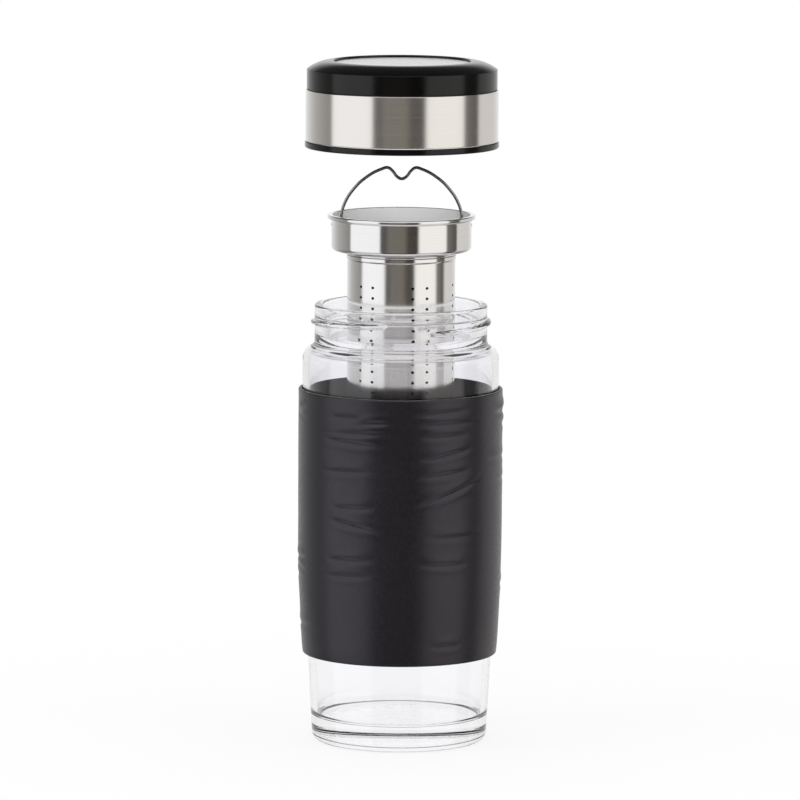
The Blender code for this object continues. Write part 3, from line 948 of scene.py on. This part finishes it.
@dataclass
class Infuser:
    """The collar, the perforated tube and the perforated base."""

    rim_radius: float = 0.0262
    rim_height: float = 0.0016
    rim_round: float = 0.0006
    collar_radius: float = 0.0248
    collar_height: float = 0.0128
    collar_bend: float = 0.0016
    sheet: float = 0.0006
    height: float = 0.1050
    tube_radius: float = 0.0191
    bead_radius: float = 0.0196
    bead_height: float = 0.0012
    tube_neck_radius: float = 0.0194
    tube_neck_height: float = 0.0017
    mouth_inset: float = 0.0007
    spigot: float = 0.0030
    hole_diameter: float = 0.0012
    hole_pairs: int = 6
    pair_start: float = math.radians(12.5)
    pair_spread: float = math.radians(16)
    hole_rows: int = 21
    row_pitch: float = 0.0037
    rows_per_pitch: int = 6
    first_row_drop: float = 0.0245
    cell_angle: float = math.radians(2)
    base_rings: int = 2
    base_ring_pitch: float = 0.0060
    base_holes_per_ring: int = 6
    base_hole_sides: int = 12
    bail_hole: float = 0.0018
    bail_hole_sides: int = 24
    bail_axis_drop: float = 0.0038

    def __post_init__(self) -> None:
        """Take the infuser's place from the frame and work out its levels."""
        self.rim_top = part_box("infuser_collar")[1][2]
        self.rim_foot = self.rim_top - self.rim_height
        self.collar_foot = self.rim_top - self.collar_height
        self.tube_top = self.collar_foot - FIT_GAP
        self.foot = self.rim_top - self.height
        self.tube_foot = self.foot + self.sheet + FIT_GAP
        self.tube_inner = self.tube_radius - self.sheet

    def collar(self) -> Mesh:
        """Make the collar: rolled rim, wall with two holes and flange.

        Returns:
            The mesh, whose inner faces take its second material, a white non-metal copy of its steel that
            paints the bright reflection inside the collar.
        """
        bend, sheet = self.collar_bend, self.sheet
        wall = self.collar_radius - sheet
        mouth = self.tube_inner - self.mouth_inset
        outline = [(mouth, self.collar_foot)]
        outline += rounded((self.collar_radius, self.collar_foot), bend, -90, 0)
        outline += [(self.collar_radius, self.rim_foot - sheet)]
        outline += rounded((self.collar_radius, self.rim_foot), sheet / 2, 180, 90, TINY_STEPS)
        outline += rounded((self.rim_radius, self.rim_foot), self.rim_round, -90, 0)
        outline += rounded((self.rim_radius, self.rim_top), self.rim_round, 0, 90)
        outline += rounded((wall, self.rim_top), self.rim_round, 90, 180)
        outline += rounded((wall, self.collar_foot + sheet), bend - sheet, 0, -90)
        outline += [(mouth, self.collar_foot + sheet)]
        level = Matrix.Translation((0, 0, self.rim_top - self.bail_axis_drop))
        across = level @ Matrix.Rotation(math.pi / 2, 4, 'Y')
        tool = pins("bail_hole_tool", [across], self.bail_hole, 3 * self.collar_radius, self.bail_hole_sides)
        mesh = cut_or_join(turned("collar", outline), tool, 'DIFFERENCE')
        # Inner faces take the white non-metal copy of the steel, which is painted reflection.
        for face in mesh.polygons:
            out = Vector((*face.center.xy, 0.0))
            face.material_index = int(out.length < wall + sheet / 4 and face.normal.dot(out) < 0)
        return mesh

    def perforated_wall(self) -> Mesh:
        """Make the tube's wall as one skin with round holes.

        Returns:
            The mesh, whose inner faces and hole walls take its second material, a dark copy of its steel that
            paints shade into the tube and its holes.
        """
        cell = self.row_pitch / self.rows_per_pitch
        first = self.rim_top - self.first_row_drop
        above = math.ceil((self.tube_top - self.bead_height - self.tube_neck_height - first) / cell)
        below = math.floor((first - self.tube_foot) / cell)
        line = [(self.tube_radius, first + cell * step) for step in range(above, -below - 1, -1)]
        line.append((self.tube_radius, self.tube_foot))
        steps = round(math.tau / self.cell_angle)
        shape = spin_outline(line, steps, self.pair_start, closed=False)
        centres = [corner for corner in shape.verts if self.is_hole(corner.co, first)]
        for centre in centres:
            self.open_hole(centre)
        bmesh.ops.delete(shape, geom=centres, context='VERTS')
        bmesh.ops.recalc_face_normals(shape, faces=shape.faces)
        outward = sum(face.normal.dot(Vector((*face.calc_center_median().xy, 0.0))) for face in shape.faces)
        if outward < 0:
            bmesh.ops.reverse_faces(shape, faces=shape.faces)
        bmesh.ops.solidify(shape, geom=shape.faces[:], thickness=self.sheet)
        # Faces on the inner side and the hole walls take the dark copy of the steel, which is painted shade.
        for face in shape.faces:
            nearest = min(math.hypot(*corner.co.xy) for corner in face.verts)
            face.material_index = int(nearest < self.tube_radius - self.sheet / 2)
        return finish_mesh("tube_wall", shape, recalculate=False)

    def is_hole(self, place: Vector, first: float) -> bool:
        """Find out whether a vertex is the centre of a hole.

        Args:
            place: The vertex's place.
            first: Height of the first row of holes.

        Returns:
            Whether it stands in a column and in a row of holes.
        """
        turn = (angle_of(place) - self.pair_start) % (math.tau / self.hole_pairs)
        slack = self.cell_angle / 4
        in_column = min(turn, abs(turn - self.pair_spread), abs(turn - math.tau / self.hole_pairs)) < slack
        row = (first - place.z) / self.row_pitch
        in_row = abs(row - round(row)) * self.row_pitch < self.row_pitch / self.rows_per_pitch / 4
        return in_column and in_row and 0 <= round(row) < self.hole_rows

    def open_hole(self, centre: bmesh.types.BMVert) -> None:
        """Move the ring of vertices round a centre onto the hole's circle.

        Args:
            centre: The vertex in the middle of the hole.
        """
        ring = {corner for face in centre.link_faces for corner in face.verts} - {centre}
        angle = angle_of(centre.co)
        for corner in ring:
            side = turn_between(angle, angle_of(corner.co))
            away = Vector((side * self.tube_radius, corner.co.z - centre.co.z))
            away *= self.hole_diameter / 2 / away.length
            corner.co = around(self.tube_radius, angle + away.x / self.tube_radius, centre.co.z + away.y)

    def tube_top_ring(self) -> Mesh:
        """Make the step and the bead at the top of the tube.

        Returns:
            The mesh.
        """
        bead_foot = self.tube_top - self.bead_height
        neck_foot = bead_foot - self.tube_neck_height
        bead, step = self.bead_height / 2, self.sheet / 2
        outline = [(self.tube_inner, neck_foot - self.sheet), (self.tube_radius, neck_foot)]
        outline += arc((self.tube_neck_radius - step, neck_foot + self.sheet), step, -60, 0, TINY_STEPS)
        outline += [(self.tube_neck_radius, bead_foot)]
        outline += arc((self.bead_radius - bead, self.tube_top - bead), bead, -90, 90)
        outline += [(self.tube_inner, self.tube_top)]
        return turned("tube_top_ring", outline)

    def base(self) -> Mesh:
        """Make the perforated cap under the tube.

        Returns:
            The mesh.
        """
        spigot_radius = self.tube_inner - FIT_GAP
        spigot_top = self.tube_foot + self.spigot
        inner = spigot_radius - self.sheet
        floor = self.foot + self.sheet
        outline = [(0.0, self.foot), *rounded((self.tube_radius, self.foot), self.sheet, -90, 0)]
        outline += [(spigot_radius, floor), (spigot_radius, spigot_top), (inner, spigot_top)]
        outline += [(inner, floor), (0.0, floor)]
        places = []
        for ring in range(self.base_rings + 1):
            count = max(1, self.base_holes_per_ring * ring)
            for number in range(count):
                spot = around(self.base_ring_pitch * ring, math.tau * number / count, self.foot)
                places.append(Matrix.Translation(spot))
        tool = pins("base_hole_tool", places, self.hole_diameter, 4 * self.sheet, self.base_hole_sides)
        return cut_or_join(turned("base_cap", outline), tool, 'DIFFERENCE')

    def build(self) -> None:
        """Build the infuser's pieces."""
        collar = place_piece("collar_ring", self.collar(), Body.INFUSER, POLISHED, ["infuser_collar"])
        collar.data.materials.append(COLLAR_INSIDE_PAINTED_LIGHT.material())
        wall = place_piece("tube_wall", self.perforated_wall(), Body.INFUSER, PERFORATED, ["infuser_tube"])
        wall.data.materials.append(TUBE_INSIDE_PAINTED_SHADE.material())
        place_piece("tube_top_ring", self.tube_top_ring(), Body.INFUSER, POLISHED, ["infuser_tube"])
        place_piece("base_cap", self.base(), Body.INFUSER, POLISHED, ["infuser_base"])


@dataclass
class Bail:
    """The wire handle, bent out through the collar's two holes."""

    infuser: Infuser
    wire: float = 0.0011
    height: float = 0.02025
    half_width: float = 0.0213
    bend: float = 0.0011
    bend_share: float = 0.3
    end: float = 0.0249
    resolution: int = 8
    bevel_resolution: int = 4
    shares: Sequence[Point] = (
        (1.0, 0.133),
        (0.955, 0.345),
        (0.80, 0.617),
        (0.56, 0.850),
        (0.33, 0.976),
        (0.232, 1.0),
        (0.150, 0.940),
        (0.080, 0.845),
        (0.0, 0.805),
    )

    def route(self) -> list[Point]:
        """Lay out the wire in its own plane.

        Returns:
            The points (across, up), from one end to the other.
        """
        inside = self.bend * self.bend_share
        half = [(self.end, 0.0), (self.half_width + self.bend, 0.0)]
        half += [(self.half_width + inside, inside), (self.half_width, self.bend)]
        half += [(self.half_width * across, self.height * up) for across, up in self.shares]
        return half + [(-across, up) for across, up in reversed(half[:-1])]

    def build(self) -> None:
        """Build the bail."""
        axis = self.infuser.rim_top - self.infuser.bail_axis_drop
        curve = bpy.data.curves.new("bail_wire", 'CURVE')
        curve.dimensions = '3D'
        curve.bevel_depth = self.wire / 2
        curve.bevel_resolution = self.bevel_resolution
        curve.use_fill_caps = True
        curve.resolution_u = self.resolution
        route = self.route()
        spline = curve.splines.new('BEZIER')
        spline.bezier_points.add(len(route) - 1)
        for point, (across, up) in zip(spline.bezier_points, route):
            point.co = (across, 0.0, axis + up)
            point.handle_left_type = 'AUTO'
            point.handle_right_type = 'AUTO'
        place_piece("bail_wire", curve, Body.BAIL, WIRE_PAINTED_SHADE, ["bail_handle"])


@dataclass
class Lid:
    """The lid: cap with lugs, seal, steel band, base ring, top ring and disc."""

    height: float = 0.0307
    band_radius: float = 0.03405
    band_wall: float = 0.0005
    band_edge: float = 0.00018
    band_top: float = 0.0205
    base_ring_radius: float = 0.0343
    base_ring_height: float = 0.0021
    base_ring_round: float = 0.0006
    top_ring_radius: float = 0.03365
    side_top: float = 0.02765
    crest_radius: float = 0.0246
    ceiling_radius: float = 0.0285
    shell_wall: float = 0.0017
    ring_edge: float = 0.0004
    dome_steps: int = 18
    disc_radius: float = 0.0238
    disc_thickness: float = 0.0008
    disc_recess: float = 0.0008
    disc_edge: float = 0.0002
    skirt_wall: float = 0.00095
    deck: float = 0.0015
    ceiling: float = 0.0009
    dome_radius: float = 0.0275
    dome_wall: float = 0.0015
    plug_wall: float = 0.0009
    gasket_foot: float = 0.0110
    gasket_thickness: float = 0.0016
    gasket_edge: float = 0.0004
    lug_top: float = 0.00359
    lug_inner: float = 0.03115
    lug_width: float = math.radians(20)
    lug_middle: float = math.radians(5)
    lug_count: int = 2
    lug_steps: int = 10
    outer_steps: int = 192

    def __post_init__(self) -> None:
        """Take the lid's place from the frame and work out its levels."""
        self.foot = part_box("lid_base_ring")[0][2]
        self.band_foot = self.foot + self.base_ring_height + FIT_GAP
        self.cap_radius = self.band_radius - self.band_wall - FIT_GAP
        self.skirt_inner = self.cap_radius - self.skirt_wall
        self.gasket_low = self.foot + self.gasket_foot
        self.gasket_high = self.gasket_low + self.gasket_thickness
        self.deck_foot = self.gasket_high + FIT_GAP
        self.deck_top = self.deck_foot + self.deck
        self.top = self.foot + self.height
        self.disc_top = self.top - self.disc_recess
        self.disc_foot = self.disc_top - self.disc_thickness
        self.ceiling_top = self.disc_foot - FIT_GAP
        self.ceiling_foot = self.ceiling_top - self.ceiling
        self.dome_inner = self.dome_radius - self.dome_wall
        self.plug_radius = self.dome_inner + self.plug_wall

    def gasket(self) -> Mesh:
        """Make the seal, a ring with soft edges.

        Returns:
            The mesh.
        """
        inner = self.plug_radius + FIT_GAP
        outer = self.skirt_inner - FIT_GAP
        low, high = self.gasket_low, self.gasket_high
        outline = []
        for number, corner in enumerate(((outer, low), (outer, high), (inner, high), (inner, low))):
            outline += rounded(corner, self.gasket_edge, 90 * number - 90, 90 * number, EDGE_STEPS)
        return turned("seal_ring", outline)

    def cap(self) -> Mesh:
        """Make the moulded cap with its lugs.

        Returns:
            The mesh.
        """
        plug_foot = self.gasket_low + FIT_GAP
        outline = [(self.skirt_inner, self.band_foot), (self.cap_radius, self.band_foot)]
        outline += [(self.cap_radius, self.deck_top), (self.dome_radius, self.deck_top)]
        outline += [(self.dome_radius, self.ceiling_top), (0.0, self.ceiling_top), (0.0, self.ceiling_foot)]
        outline += rounded((self.dome_inner, self.ceiling_foot), self.dome_wall / 2, 90, 0)
        outline += [(self.dome_inner, plug_foot), (self.plug_radius, plug_foot)]
        outline += [(self.plug_radius, self.deck_foot), (self.skirt_inner, self.deck_foot)]
        mesh = turned("cap_body", outline)
        for number in range(self.lug_count):
            mesh = cut_or_join(mesh, self.lug(self.lug_middle + math.tau * number / self.lug_count), 'UNION')
        return mesh

    def lug(self, middle: float) -> Mesh:
        """Make one lug.

        Args:
            middle: The angle of its middle.

        Returns:
            The mesh.
        """
        foot, top = self.band_foot, self.foot + self.lug_top
        outer = self.skirt_inner + self.skirt_wall / 2
        shape = bmesh.new()
        start = middle - self.lug_width / 2
        section = ((self.lug_inner, foot), (outer, foot), (outer, top), (self.lug_inner, top))
        corners = [shape.verts.new(around(radius, start, height)) for radius, height in section]
        edges = [shape.edges.new((corners[i - 1], corners[i])) for i in range(len(corners))]
        bmesh.ops.spin(
            shape, geom=corners + edges, cent=(0, 0, 0), axis=(0, 0, 1),
            angle=self.lug_width, steps=self.lug_steps,
        )
        bmesh.ops.holes_fill(shape, edges=[edge for edge in shape.edges if edge.is_boundary])
        return finish_mesh("lug", shape)

    def band(self) -> Mesh:
        """Make the steel band with its broken edges.

        Returns:
            The mesh.
        """
        inner = self.band_radius - self.band_wall
        high = self.foot + self.band_top
        outline = [(inner, self.band_foot)]
        outline += rounded((self.band_radius, self.band_foot), self.band_edge, -90, 0, TINY_STEPS)
        outline += rounded((self.band_radius, high), self.band_edge, 0, 90, TINY_STEPS)
        outline += [(inner, high)]
        return turned("steel_band", outline, self.outer_steps)

    def base_ring(self) -> Mesh:
        """Make the thin ring under the band.

        Returns:
            The mesh.
        """
        high = self.foot + self.base_ring_height
        outline = [(self.skirt_inner, self.foot)]
        outline += rounded((self.base_ring_radius, self.foot), self.base_ring_round, -90, 0)
        outline += rounded((self.base_ring_radius, high), self.ring_edge / 2, 0, 90, TINY_STEPS)
        outline += [(self.skirt_inner, high)]
        return turned("base_ring", outline, self.outer_steps)

    def top_ring(self) -> Mesh:
        """Make the domed ring on top, a shell whose spigot stands in the band.

        Returns:
            The mesh.
        """
        side_foot, side_top = self.foot + self.band_top + FIT_GAP, self.foot + self.side_top
        spigot_foot = self.deck_top + FIT_GAP
        shell = self.cap_radius - self.shell_wall
        width, drop = self.top_ring_radius - self.crest_radius, self.height - self.side_top
        bulge = (width ** 2 + drop ** 2) / (2 * drop)
        reach = math.degrees(math.asin(width / bulge))
        small = self.ring_edge / 2
        opening = self.disc_radius + FIT_GAP
        outline = [(shell, spigot_foot), (self.cap_radius, spigot_foot), (self.cap_radius, side_foot)]
        outline += rounded((self.top_ring_radius, side_foot), small, -90, 0, TINY_STEPS)
        outline += arc((self.top_ring_radius - small, side_top - small / 2), small, 0, 90 - reach, EDGE_STEPS)
        outline += arc((self.crest_radius, self.top - bulge), bulge, 91 - reach, 90, self.dome_steps)
        outline += rounded((opening, self.top), self.ring_edge, 90, 180)
        outline += [(opening, self.disc_foot), (self.ceiling_radius, self.disc_foot), (shell, side_top)]
        return turned("top_ring", outline, self.outer_steps)

    def disc(self) -> Mesh:
        """Make the disc set into the ring.

        Returns:
            The mesh.
        """
        outline = [(0.0, self.disc_foot), (self.disc_radius, self.disc_foot)]
        outline += rounded((self.disc_radius, self.disc_top), self.disc_edge, 0, 90, TINY_STEPS)
        outline += [(self.disc_radius / 2, self.disc_top), (0.0, self.disc_top)]
        return turned("top_disc", outline, self.outer_steps)

    def build(self) -> None:
        """Build the lid's pieces."""
        place_piece("seal_ring", self.gasket(), Body.LID_SEAL, SEAL, ["lid_gasket"])
        place_piece("cap_body", self.cap(), Body.LID, PLASTIC, ["lid_inner_cap"])
        place_piece("steel_band", self.band(), Body.LID, BAND_STEEL, ["lid_steel_band"])
        place_piece("base_ring", self.base_ring(), Body.LID, PLASTIC, ["lid_base_ring"])
        place_piece("top_ring", self.top_ring(), Body.LID, PLASTIC, ["lid_top_ring"])
        place_piece("top_disc", self.disc(), Body.LID, DISC_STEEL, ["lid_top_disc"])


@dataclass(frozen=True)
class Lamp:
    """A soft lamp that lights matte surfaces and isn't seen in glossy ones."""

    name: str
    place: tuple[float, float, float]
    size: float
    power: float

    def hang(self, aim: Vector) -> None:
        """Hang the lamp in the scene.

        Args:
            aim: The point that it shines at.
        """
        light = bpy.data.lights.new(self.name, 'AREA')
        light.size = self.size
        light.energy = self.power
        holder = put_in_scene(self.name, light)
        holder.location = self.place
        holder.rotation_euler = (aim - Vector(self.place)).to_track_quat('-Z', 'Y').to_euler()
        holder.visible_camera = False
        holder.visible_glossy = False
        holder.visible_transmission = False


@dataclass
class Studio:
    """The pale studio: floor, world, lamps and camera."""

    camera_distance: float = 2.3
    camera_elevation: float = math.radians(7.5)
    camera_roll: float = math.radians(0.3)
    camera_aside: float = -0.0002
    look_height: float = 0.1217
    lens: float = 291.8
    sensor: float = 36.0
    floor_radius: float = 0.9
    floor_sides: int = 96
    floor_colour: Colour = (0.9, 0.9, 0.9)
    floor_near: float = 0.04
    floor_far: float = 0.27
    floor_seen_share: float = 0.86
    ambient: float = 0.45
    front_sky: float = 1.2
    front_sky_low: float = 0.26
    back_sky: float = 0.10
    back_sky_low: float = 0.2
    side_fade: float = 0.15
    sky_fade: float = 0.25
    low_shade: float = 0.4
    low_shade_levels: Point = (-0.55, -0.2)
    ground_levels: Point = (-0.75, -0.6)
    glass_sky: float = 0.5
    glass_sky_levels: Point = (0.25, 0.55)
    backdrop: Colour = (0.93, 0.92, 0.95)
    white: Colour = (1.0, 1.0, 1.0)
    veil: float = 0.3
    bands: Sequence[tuple[float, Colour]] = (
        (-180.0, (1.0, 1.0, 1.01)),
        (-150.0, (0.78, 0.78, 0.78)),
        (-128.0, (0.52, 0.515, 0.505)),
        (-94.0, (0.30, 0.29, 0.275)),
        (-91.0, (1.15, 1.15, 1.17)),
        (-37.0, (1.15, 1.15, 1.17)),
        (-33.5, (0.13, 0.125, 0.12)),
        (-27.0, (0.11, 0.105, 0.10)),
        (-20.0, (0.20, 0.19, 0.17)),
        (4.0, (0.20, 0.185, 0.155)),
        (12.0, (0.085, 0.075, 0.065)),
        (26.0, (0.06, 0.053, 0.045)),
        (31.0, (1.12, 1.10, 1.06)),
        (78.0, (1.12, 1.10, 1.06)),
        (82.0, (0.21, 0.195, 0.18)),
        (102.0, (0.10, 0.095, 0.085)),
        (106.0, (0.80, 0.78, 0.76)),
        (140.0, (0.74, 0.73, 0.72)),
        (180.0, (1.0, 1.0, 1.01)),
    )
    lamps: Sequence[Lamp] = (
        Lamp("left_lamp", (-1.1, -0.5, 0.8), 0.9, 6.0),
        Lamp("right_lamp", (1.1, -0.6, 0.6), 0.8, 3.5),
        Lamp("top_lamp", (0.0, 0.1, 1.4), 1.0, 6.0),
        Lamp("front_lamp", (0.0, -1.6, 0.5), 0.5, 9.0),
    )

    def floor(self) -> None:
        """Lay the floor, which keeps a faint shadow near the mug and is white further out."""
        shape = bmesh.new()
        bmesh.ops.create_circle(shape, cap_ends=True, segments=self.floor_sides, radius=self.floor_radius)
        plate = put_in_scene("studio_floor", finish_mesh("studio_floor", shape))
        material = bpy.data.materials.new("floor_paper")
        material.use_nodes = True
        wiring = Wiring(material.node_tree)
        material.node_tree.nodes.clear()
        fade = wiring.ease(wiring.from_axis(), self.floor_near, self.floor_far, self.floor_seen_share, 1.0)
        path = wiring.add("ShaderNodeLightPath").outputs
        seen = wiring.maths("MAXIMUM", path["Is Camera Ray"], path["Is Transmission Ray"])
        seen = wiring.maths("MAXIMUM", seen, path["Is Glossy Ray"])
        share = wiring.maths("MULTIPLY", seen, fade)
        paper = wiring.add("ShaderNodeBsdfDiffuse", {"Color": (*self.floor_colour, 1.0)})
        white = wiring.add("ShaderNodeEmission", {"Color": (*self.white, 1.0), "Strength": 1.0})
        mix = wiring.add("ShaderNodeMixShader", {0: share, 1: paper.outputs[0], 2: white.outputs[0]})
        wiring.add("ShaderNodeOutputMaterial", {0: mix.outputs[0]})
        plate.data.materials.append(material)
        plate.visible_glossy = False
        plate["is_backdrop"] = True

    def cards(self, wiring: Wiring, axes: bpy.types.NodeOutputs) -> Socket:
        """Set up the cards round the mug, the sky over them and the ground under them.

        Args:
            wiring: The world's nodes.
            axes: The three parts of a ray's direction.

        Returns:
            The colour in that direction.
        """
        towards = wiring.maths("MULTIPLY", axes["Y"], -1.0)
        angle = wiring.maths("ARCTAN2", axes["X"], towards)
        ramp = wiring.add("ShaderNodeValToRGB", {0: wiring.maths("MULTIPLY_ADD", angle, 1.0 / math.tau, 0.5)})
        stops = ramp.color_ramp.elements
        while len(stops) < len(self.bands):
            stops.new(0.5)
        for stop, (degrees, colour) in zip(stops, self.bands):
            stop.position = degrees / 360.0 + 0.5
            stop.color = (*colour, 1.0)
        shade = wiring.ease(axes["Z"], *self.low_shade_levels, self.low_shade, 1.0)
        shaded = wiring.add("ShaderNodeVectorMath", {0: ramp.outputs[0], "Scale": shade}, operation='SCALE')
        front = wiring.ease(towards, -self.side_fade, self.side_fade)
        low = wiring.maths("MULTIPLY_ADD", front, self.front_sky_low - self.back_sky_low, self.back_sky_low)
        sky = wiring.maths("MULTIPLY_ADD", front, self.front_sky - self.back_sky, self.back_sky)
        overhead = wiring.ease(axes["Z"], low, wiring.maths("ADD", low, self.sky_fade))
        walls = wiring.blend(overhead, shaded.outputs[0], sky)
        under = wiring.ease(axes["Z"], *self.ground_levels, 1.0, 0.0)
        return wiring.blend(under, walls, self.backdrop)

    def world(self) -> None:
        """Set the world: white behind the mug, and the cards of a studio where steel and glass see it."""
        world = bpy.data.worlds.new("studio_world")
        bpy.context.scene.world = world
        world.use_nodes = True
        world.cycles.sampling_method = 'NONE'
        wiring = Wiring(world.node_tree)
        world.node_tree.nodes.clear()
        place = wiring.add("ShaderNodeTexCoord")
        axes = wiring.add("ShaderNodeSeparateXYZ", {0: place.outputs["Generated"]}).outputs
        path = wiring.add("ShaderNodeLightPath").outputs
        level = wiring.maths("ABSOLUTE", axes["Z"])
        level = wiring.ease(level, self.back_sky_low, 2 * self.back_sky_low, self.veil, 1.0)
        entered = wiring.maths("GREATER_THAN", path["Transmission Depth"], 0.5)
        veil = wiring.maths("MULTIPLY", entered, level)
        veiled = wiring.blend(veil, self.cards(wiring, axes), self.backdrop)
        sharp = wiring.maths("MAXIMUM", path["Is Glossy Ray"], path["Is Transmission Ray"])
        lit = wiring.blend(sharp, (self.ambient,) * 3, veiled)
        height = wiring.ease(axes["Z"], *self.glass_sky_levels, interpolation_type='SMOOTHSTEP')
        backdrop = wiring.blend(height, self.backdrop, (self.glass_sky,) * 3)
        through = wiring.maths("GREATER_THAN", path["Is Transmission Ray"], path["Glossy Depth"])
        behind = wiring.blend(through, lit, backdrop)
        shown = wiring.blend(path["Is Camera Ray"], behind, self.white)
        background = wiring.add("ShaderNodeBackground", {"Color": shown, "Strength": 1.0})
        wiring.add("ShaderNodeOutputWorld", {0: background.outputs[0]})

    def camera(self) -> None:
        """Set the camera at the photograph's angle."""
        data = bpy.data.cameras.new("photo_camera")
        data.lens = self.lens
        data.sensor_width = self.sensor
        holder = put_in_scene("photo_camera", data)
        back = self.camera_distance * math.cos(self.camera_elevation)
        up = self.camera_distance * math.sin(self.camera_elevation)
        holder.location = (self.camera_aside, -back, self.look_height + up)
        tilt = Matrix.Rotation(math.pi / 2 - self.camera_elevation, 3, 'X')
        roll = Matrix.Rotation(self.camera_roll, 3, 'Z')
        holder.rotation_euler = (tilt @ roll).to_euler()
        bpy.context.scene.camera = holder

    def build(self) -> None:
        """Build the studio."""
        self.floor()
        self.world()
        for lamp in self.lamps:
            lamp.hang(Vector((0.0, 0.0, self.look_height)))
        self.camera()


def corners() -> list[list[float]]:
    """Return the lowest and the highest corner of the whole object as plain lists."""
    return [[float(part) for part in corner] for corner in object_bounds()]


def main() -> None:
    """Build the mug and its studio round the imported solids."""
    logging.basicConfig(level=logging.INFO, format="%(name)s: %(message)s")
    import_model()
    bpy.context.scene.view_settings.view_transform = 'Standard'
    tumbler, infuser = Tumbler(), Infuser()
    for assembly in (tumbler, GripSleeve(tumbler), infuser, Bail(infuser), Lid(), Studio()):
        assembly.build()
        log.info("%s is built", type(assembly).__name__)


if __name__ == "__main__":
    main()
